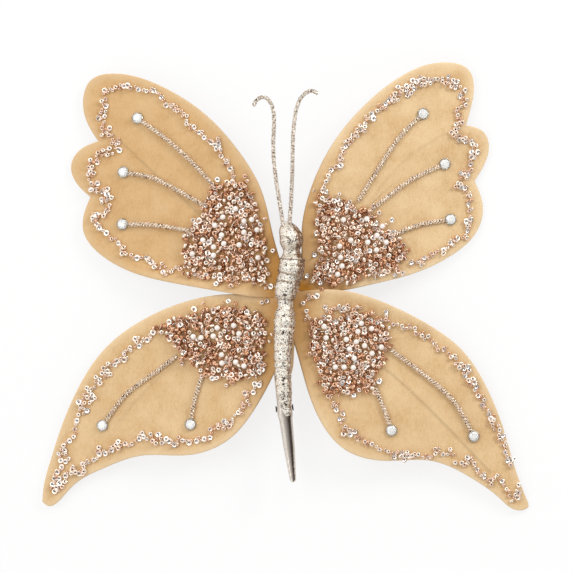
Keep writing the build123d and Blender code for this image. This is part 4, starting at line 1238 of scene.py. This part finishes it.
def cup_form():
    """A metal cup: wall, lip with four claws, and a floor inside. Claw height is a high power of
    the cosine of twice the angle."""
    turn = circle(32)
    levels = [(2.08, 0.0, 0.0), (2.18, 0.12, 0.0), (2.17, 0.72, 0.12), (2.06, 0.86, 0.42),
              (1.93, 0.80, 0.42), (1.88, 0.5, 0.0)]
    radius, height, lift = (column[:, None] for column in np.array(levels).T)
    claw = lift * np.abs(np.cos(2 * turn)) ** 12
    return shell(ringed(radius - 0.25 * claw, height + claw, turn), (0, 0, 0), (0, 0, 0.46))


gem, cup = stone_form(), cup_form()
# Each ring of facets is painted in two alternating tones, bright and grey: painted reflections.
facet_pairs = [(0.2, 0.2), (0.9, 0.15), (0.25, 1.0), (1.0, 0.2), (0.8, 1.0)]
facet_tone = np.concatenate([np.tile(pair, stone_sides // 2) for pair in facet_pairs] + [[0.2, 1.0]])
for wing in wing_names:
    seen = noted(stone_places[wing])
    spin = scatter.random(len(seen)) * math.pi
    here, turns = facing(wing, seen, np.full(len(seen), cloth_gap), spin, np.zeros(len(seen)))
    piece(wing + "_stones", scattered(gem, here, turns), stone, "gems", [wing + "_gems"], pair_of(wing),
          smooth=False, facet=np.tile(facet_tone, len(seen)))
    piece(wing + "_stone_cups", scattered(cup, here, turns), cup_metal, "wire", [wing + "_gems"],
          pair_of(wing))

# %% [markdown]
# ## Veins and wires
# From each stone a glitter cord runs to the bead patch. It is two strands twisted, lying on the
# cloth. Under the cloth a steel wire runs from the felt strip out into each wing, so that the wing
# keeps the bend that a hand gives it.
# A cord could be a coloured line in the cloth's finish. A raised one throws its own thin shadow and
# catches the light, so it is a tube. The wire is one as well, and lifts the velvet over it.

# %% Veins
vein_radius, vein_lift, vein_sides, vein_pitch = 0.94, 0.68, 12, 2.3

for wing in wing_names:
    forms, hollows = [], []
    for seen in vein_lines(wing):
        out, along = to_hinge(wing, seen).T
        line = hang(wing, out, along, relief(wing, out, along) + strip_half + vein_lift)
        forms.append(tube(line, vein_radius, vein_sides, pitch=vein_pitch, depth=0.3, jitter=0.07))
        # The glitter is painted darker in the groove between the strands: painted shade.
        hollows.append(with_poles(grooves(line, vein_sides, vein_pitch)))
    print(wing, "veins", [round(travelled(seen)[-1], 1) for seen in vein_lines(wing)], "mm")
    piece(wing + "_vein_cords", joined(forms), cord_glitter, "veins", [wing + "_veins"], pair_of(wing),
          smooth=False, hollow=np.concatenate(hollows))

# %% Wires in the wings
wire_radius, wire_end = 0.3, -3.2

for wing in wing_names:
    first_out, first_along = wire_lines[wing][0]
    inner = np.column_stack([np.linspace(wire_end, first_out - 0.3, 14), np.full(14, first_along)])
    out, along = smooth_run(np.vstack([inner, wire_lines[wing]])[::6], 0.5).T
    line = hang(wing, out, along, relief(wing, out, along) * share_of(out / 3))
    wire = piece(wing + "_wire_drawn", tube(line, wire_radius, 8), wire_metal, "wire",
                 [wing + "_wire", "wing_wire_tails"])
    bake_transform(wire)

# %% [markdown]
# ## The clip
# A crocodile clip is two channels folded from thin sheet, nested at the pivot and held apart at the
# handles by a wound spring. Each half is a section carried along the clip: a domed top, rolled at
# both edges, with flanges that reach down to teeth at the jaw and to round ears at the pin. It is
# drawn flat and closed about the pin, then set at the CAD's place and angle.
# Blocks cut out of each other would leave sharp corners and uneven walls. One section carried along
# keeps the sheet equally thick, as in pressed steel.

# %% The folded halves
pivot = np.array([-0.002 * span, -0.250 * span, 8.776])
clip_lean, clip_flare = math.radians(6.8), math.radians(8.0)
jaw_length, handle_length, clip_width = 28.0, 18.0, 5.8
sheet_thickness, ear_radius, clip_height, tip_height = 0.5, 1.7, 3.5, 1.2
tooth_pitch, tooth_height = 0.68 * jaw_length / 8, 0.6
nest_gap, flange_foot, handle_depth = 0.17, 0.06, 1.9


def leaned(x, y):
    """Turned by the clip's lean, seen from above."""
    return (x * math.cos(clip_lean) - y * math.sin(clip_lean),
            x * math.sin(clip_lean) + y * math.cos(clip_lean))


def set_clip(points):
    """From the clip's own places to the model: tip by the flare about X, lean about Z, move to the
    pin."""
    x, y, z = points[..., 0], points[..., 1], points[..., 2]
    ahead = y * math.cos(clip_flare) + z * math.sin(clip_flare)
    height = z * math.cos(clip_flare) - y * math.sin(clip_flare)
    return pivot + np.stack([*leaned(x, ahead), height], -1)


def channel_width(along, nest):
    """Half the channel's width: tapered jaw with a rounded tip, ears, then the handle. The nested
    half is narrower at the ears."""
    half = clip_width * np.interp(along / np.where(along > 0, handle_length, jaw_length),
                                  [-1, -0.83, -0.53, -0.23, -0.15, -0.09, 0.12, 1],
                                  [0.19, 0.26, 0.37, 0.42, 0.435, 0.5, 0.45, 0.42])
    half = half * np.sqrt(1 - 0.8 * (1 - share_of((along + jaw_length) / 1.1)) ** 2)
    return half - nest * (sheet_thickness + nest_gap) * share_of((2.95 - np.abs(along)) / 0.65)


def flange_edge(along, top, shift):
    """The height of the flange's lower edge.
    Formula: triangle teeth on the jaw, a circle at the ears and a straight rim on the handle."""
    phase = ((along + jaw_length - 0.3) / tooth_pitch - shift) % 1
    tooth = np.clip(tooth_height * (1 - 4 * np.abs(phase - np.round(phase))), 0, tooth_height)
    toothed = (along < -jaw_length + 0.3 + 8.6 * tooth_pitch) & (along > -jaw_length + 1.2)
    handle = top - handle_depth
    low = np.where(along < 0, flange_foot + tooth * toothed, handle)
    rising = flange_foot + (handle - flange_foot) * share_of((along - ear_radius) / 0.7)
    low = np.where((along >= 0) & (along < ear_radius + 0.7), rising, low)
    ears = -np.sqrt(np.clip(ear_radius**2 - along**2, 0, None))
    return np.where(np.abs(along) < ear_radius, np.minimum(low, ears), low)


def section(along, half, top, low, inset):
    """One face of the folded sheet, drawn in by an inset: flange up, superellipse dome, flange down."""
    turn = np.linspace(0, math.pi, 17)
    width = np.maximum(half - inset, 0.12)[:, None]
    peak = np.maximum(top - inset, low + 0.25)[:, None]
    foot = low[:, None]
    corner = peak - np.minimum(1.25, 0.75 * (peak - foot))
    knee = (foot + corner) / 2
    x = width * np.concatenate([[1, 1], bowed(np.cos(turn), 0.8), [-1, -1]])
    z = np.concatenate([foot, knee, corner + (peak - corner) * np.sin(turn) ** 0.85, knee, foot], 1)
    return np.stack(np.broadcast_arrays(x, along[:, None], z), -1)


def channel(shift, nest):
    """A folded half as a shell with folded end walls: the outer section and the inner one, drawn in
    by the sheet, joined at their feet."""
    along = np.concatenate([np.linspace(-jaw_length, -3.4, 165), np.linspace(-3.25, 3.4, 46),
                            np.linspace(3.8, handle_length, 44)])
    slope = np.where(along > 0, math.tan(clip_flare), (clip_height - tip_height) / jaw_length)
    top = clip_height + along * slope
    half, low = channel_width(along, nest), flange_edge(along, top, shift)
    outer, inner = (section(along, half, top, low, inset) for inset in (0, sheet_thickness))
    points, quads, fans = shell(np.concatenate([outer, inner[:, ::-1]], 1))
    size = 2 * outer.shape[1]
    side = np.arange(size // 2 - 1)
    cap = np.stack([side, side + 1, size - 2 - side, size - 1 - side], -1)
    last = cap[:, ::-1] + (len(along) - 1) * size
    probe = np.cross(points[cap[8, 1]] - points[cap[8, 0]], points[cap[8, 2]] - points[cap[8, 0]])
    if probe[1] > 0:
        cap, last = cap[:, ::-1], last[:, ::-1]
    return points, np.concatenate([quads, cap, last]), fans


for name, shift, nest, flip, body in (("upper", 0, 0, 1, "body"), ("lower", 0.5, 1, -1, "clip_lever")):
    points, quads, fans = channel(shift, nest)
    form = (set_clip(points * (flip, 1, flip)), quads, fans)
    piece(f"clip_{name}_folded", form, nickel, "nickel", [f"clip_{name}_half"], body)

# %% [markdown]
# ## Spring, pin and glue
# The spring is one wire wound two and a half turns round the pin, with a leg along each handle.
# A pad of hot glue holds the upper handle to the felt.
# The coil could come from a screw modifier and the legs from two rods. As one line they run into
# each other without a step. The pad is a stack of rings that wobble, since poured glue is never even.

# %% The spring and the pin
spring_wire, spring_radius, spring_width, leg_length = 0.25, 2.60, 2.333, 9
spring_first, spring_sweep = math.radians(98), math.radians(884)


def spring_form():
    """A helix of constant radius about the pin with a straight leg at each end.
    Formula: x = width (s - 1/2), y = r cos a, z = r sin a, with a from first to first + sweep."""
    share = np.linspace(0, 1, 230)
    angle = spring_first + spring_sweep * share
    ease = share - np.sin(2 * math.pi * share) / (2 * math.pi) * 0.12
    coil = np.column_stack([spring_width * (ease - 0.5), spring_radius * np.cos(angle),
                            spring_radius * np.sin(angle)])
    run = np.linspace(leg_length, 0.15, 40)[:, None]
    first = coil[0] - run * (0, -math.sin(angle[0]), math.cos(angle[0]))
    last = coil[-1] + run[::-1] * (0, -math.sin(angle[-1]), math.cos(angle[-1]))
    across = (math.cos(clip_lean), math.sin(clip_lean), 0.001)
    return tube(set_clip(np.vstack([first, coil, last])), spring_wire, 8, up=across)


spring = piece("clip_spring_wound", spring_form(), spring_metal, "spring_steel", ["clip_spring"])
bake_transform(spring)
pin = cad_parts["clip_pin"]
pin.data.materials.clear()
pin.data.materials.append(pin_metal)

# %% The glue
hot_glue = mottled("hot glue", rgb(214, 204, 180), rgb(246, 240, 224), 1.2, 3.0, 0.5, (0.15, 0.6),
                   (0.25, 0.22), Specular_IOR_Level=0.5)
glue_half, glue_reach, glue_middle, glue_foot = 1.45, 7.2, 9.0, 3.466


def glue_form():
    """A flattened blob: rings at five heights, each a superellipse that bulges at half height."""
    turn = circle(48)
    wobble = 1 + 0.05 * np.sin(3 * turn) + 0.04 * np.cos(5 * turn + 1)
    levels = [(0.0, 0.96), (0.12, 1.04), (0.3, 1.08), (0.48, 1.05), (0.6, 0.97)]
    height, swell = (column[:, None] for column in np.array(levels).T)
    x = glue_half * swell * (bowed(np.cos(turn), 0.7) * wobble)
    y = glue_middle + glue_reach * swell * (bowed(np.sin(turn), 0.6) * wobble)
    return closed(pivot + np.stack(np.broadcast_arrays(*leaned(x, y), glue_foot + height), -1))


piece("clip_glue_pad", glue_form(), hot_glue, "glue", ["clip_glue"], "body")

# %% [markdown]
# ## Floor, light and camera
# The photograph is taken straight down on white. The floor is a pale matt sheet that keeps the
# object's shadow; part of its brightness is its own, but only for rays that come from the camera or
# from shiny or clear things, so it puts no extra light on the object. The world is pale towards the
# horizon and dark brown overhead, a little to the right, so metal and glitter have both to reflect.
# Four soft lamps add the glints and the soft shadow.
# An even white world would be simpler, but metal would have nothing dark to mirror and would look
# like paper. The camera stands far off behind a long lens, which shows the wings as flat as the photo.

# %% The floor
paper = Finish("paper floor", Roughness=0.9, Specular_IOR_Level=0.1, Base_Color=rgb(250, 250, 250))
paper.bump(paper.noise(paper.place(), 2.0), 0.02, 0.3)
path = paper.tree.nodes.new("ShaderNodeLightPath")
seen = Wire(paper, path.outputs["Is Camera Ray"]) + Wire(paper, path.outputs["Is Glossy Ray"])
seen = seen + Wire(paper, path.outputs["Is Transmission Ray"])
glow = paper.node("Emission", {})
blend = paper.node("MixShader", {}, (seen > 0.5) * 0.8, Wire(paper, paper.shader.outputs[0]), glow)
paper.feed(paper.tree.nodes["Material Output"].inputs["Surface"], blend)

mesh = bpy.data.meshes.new("floor")
mesh.from_pydata([(-5, -5, 0), (5, -5, 0), (5, 5, 0), (-5, 5, 0)], [], [(0, 1, 2, 3)])
mesh.materials.append(paper.material)
floor = bpy.data.objects.new("floor", mesh)
bpy.context.scene.collection.objects.link(floor)

# %% World and lamps
world = bpy.data.worlds.new("studio")
bpy.context.scene.world = world
world.use_nodes = True
sky = world.node_tree
direction = sky.nodes.new("ShaderNodeTexCoord")
lean = sky.nodes.new("ShaderNodeVectorMath")
lean.operation = "DOT_PRODUCT"
lean.inputs[1].default_value = (0.454, 0, 0.891)
ramp = sky.nodes.new("ShaderNodeValToRGB")
fill_ramp(ramp.color_ramp.elements, [(0.62, (0.92, 0.92, 0.92, 1)), (0.865, (0.45, 0.44, 0.43, 1)),
                                     (0.962, (0.032, 0.018, 0.013, 1))])
sky.links.new(direction.outputs["Generated"], lean.inputs[0])
sky.links.new(lean.outputs["Value"], ramp.inputs[0])
sky.links.new(ramp.outputs[0], sky.nodes["Background"].inputs["Color"])


def lamp(name, place, size, watts):
    """A square soft lamp that looks at the middle of the object."""
    light = bpy.data.lights.new(name, "AREA")
    light.size, light.energy = size, watts
    thing = bpy.data.objects.new(name, light)
    bpy.context.scene.collection.objects.link(thing)
    thing.location = place
    toward = -np.array(place)
    bearing = math.atan2(toward[1], toward[0])
    fall = math.atan2(math.hypot(toward[0], toward[1]), -toward[2])
    thing.rotation_euler = (fall, 0, bearing - math.pi / 2)


lamp("key", (-0.62, 0.42, 0.95), 0.62, 2.65)
lamp("left fill", (-0.75, -0.45, 0.75), 0.40, 0.6)
lamp("right fill", (0.80, 0.62, 0.62), 0.36, 4.7)
lamp("back", (0.15, 0.90, 0.85), 0.40, 1.2)

# %% Camera
view_width, view_shift, view_level = 0.2149, 0.000375, 0.008
camera = bpy.data.cameras.new("camera")
camera.lens, camera.sensor_width = 400, 36
camera.clip_start, camera.clip_end = 0.05, 20
eye = bpy.data.objects.new("camera", camera)
bpy.context.scene.collection.objects.link(eye)
eye.location = (view_shift, 0, view_level + view_width * camera.lens / camera.sensor_width)
bpy.context.scene.camera = eye
bpy.context.scene.view_settings.view_transform = "Standard"

# %% Totals
print("pieces", len(made), "triangles", sum(made.values()))
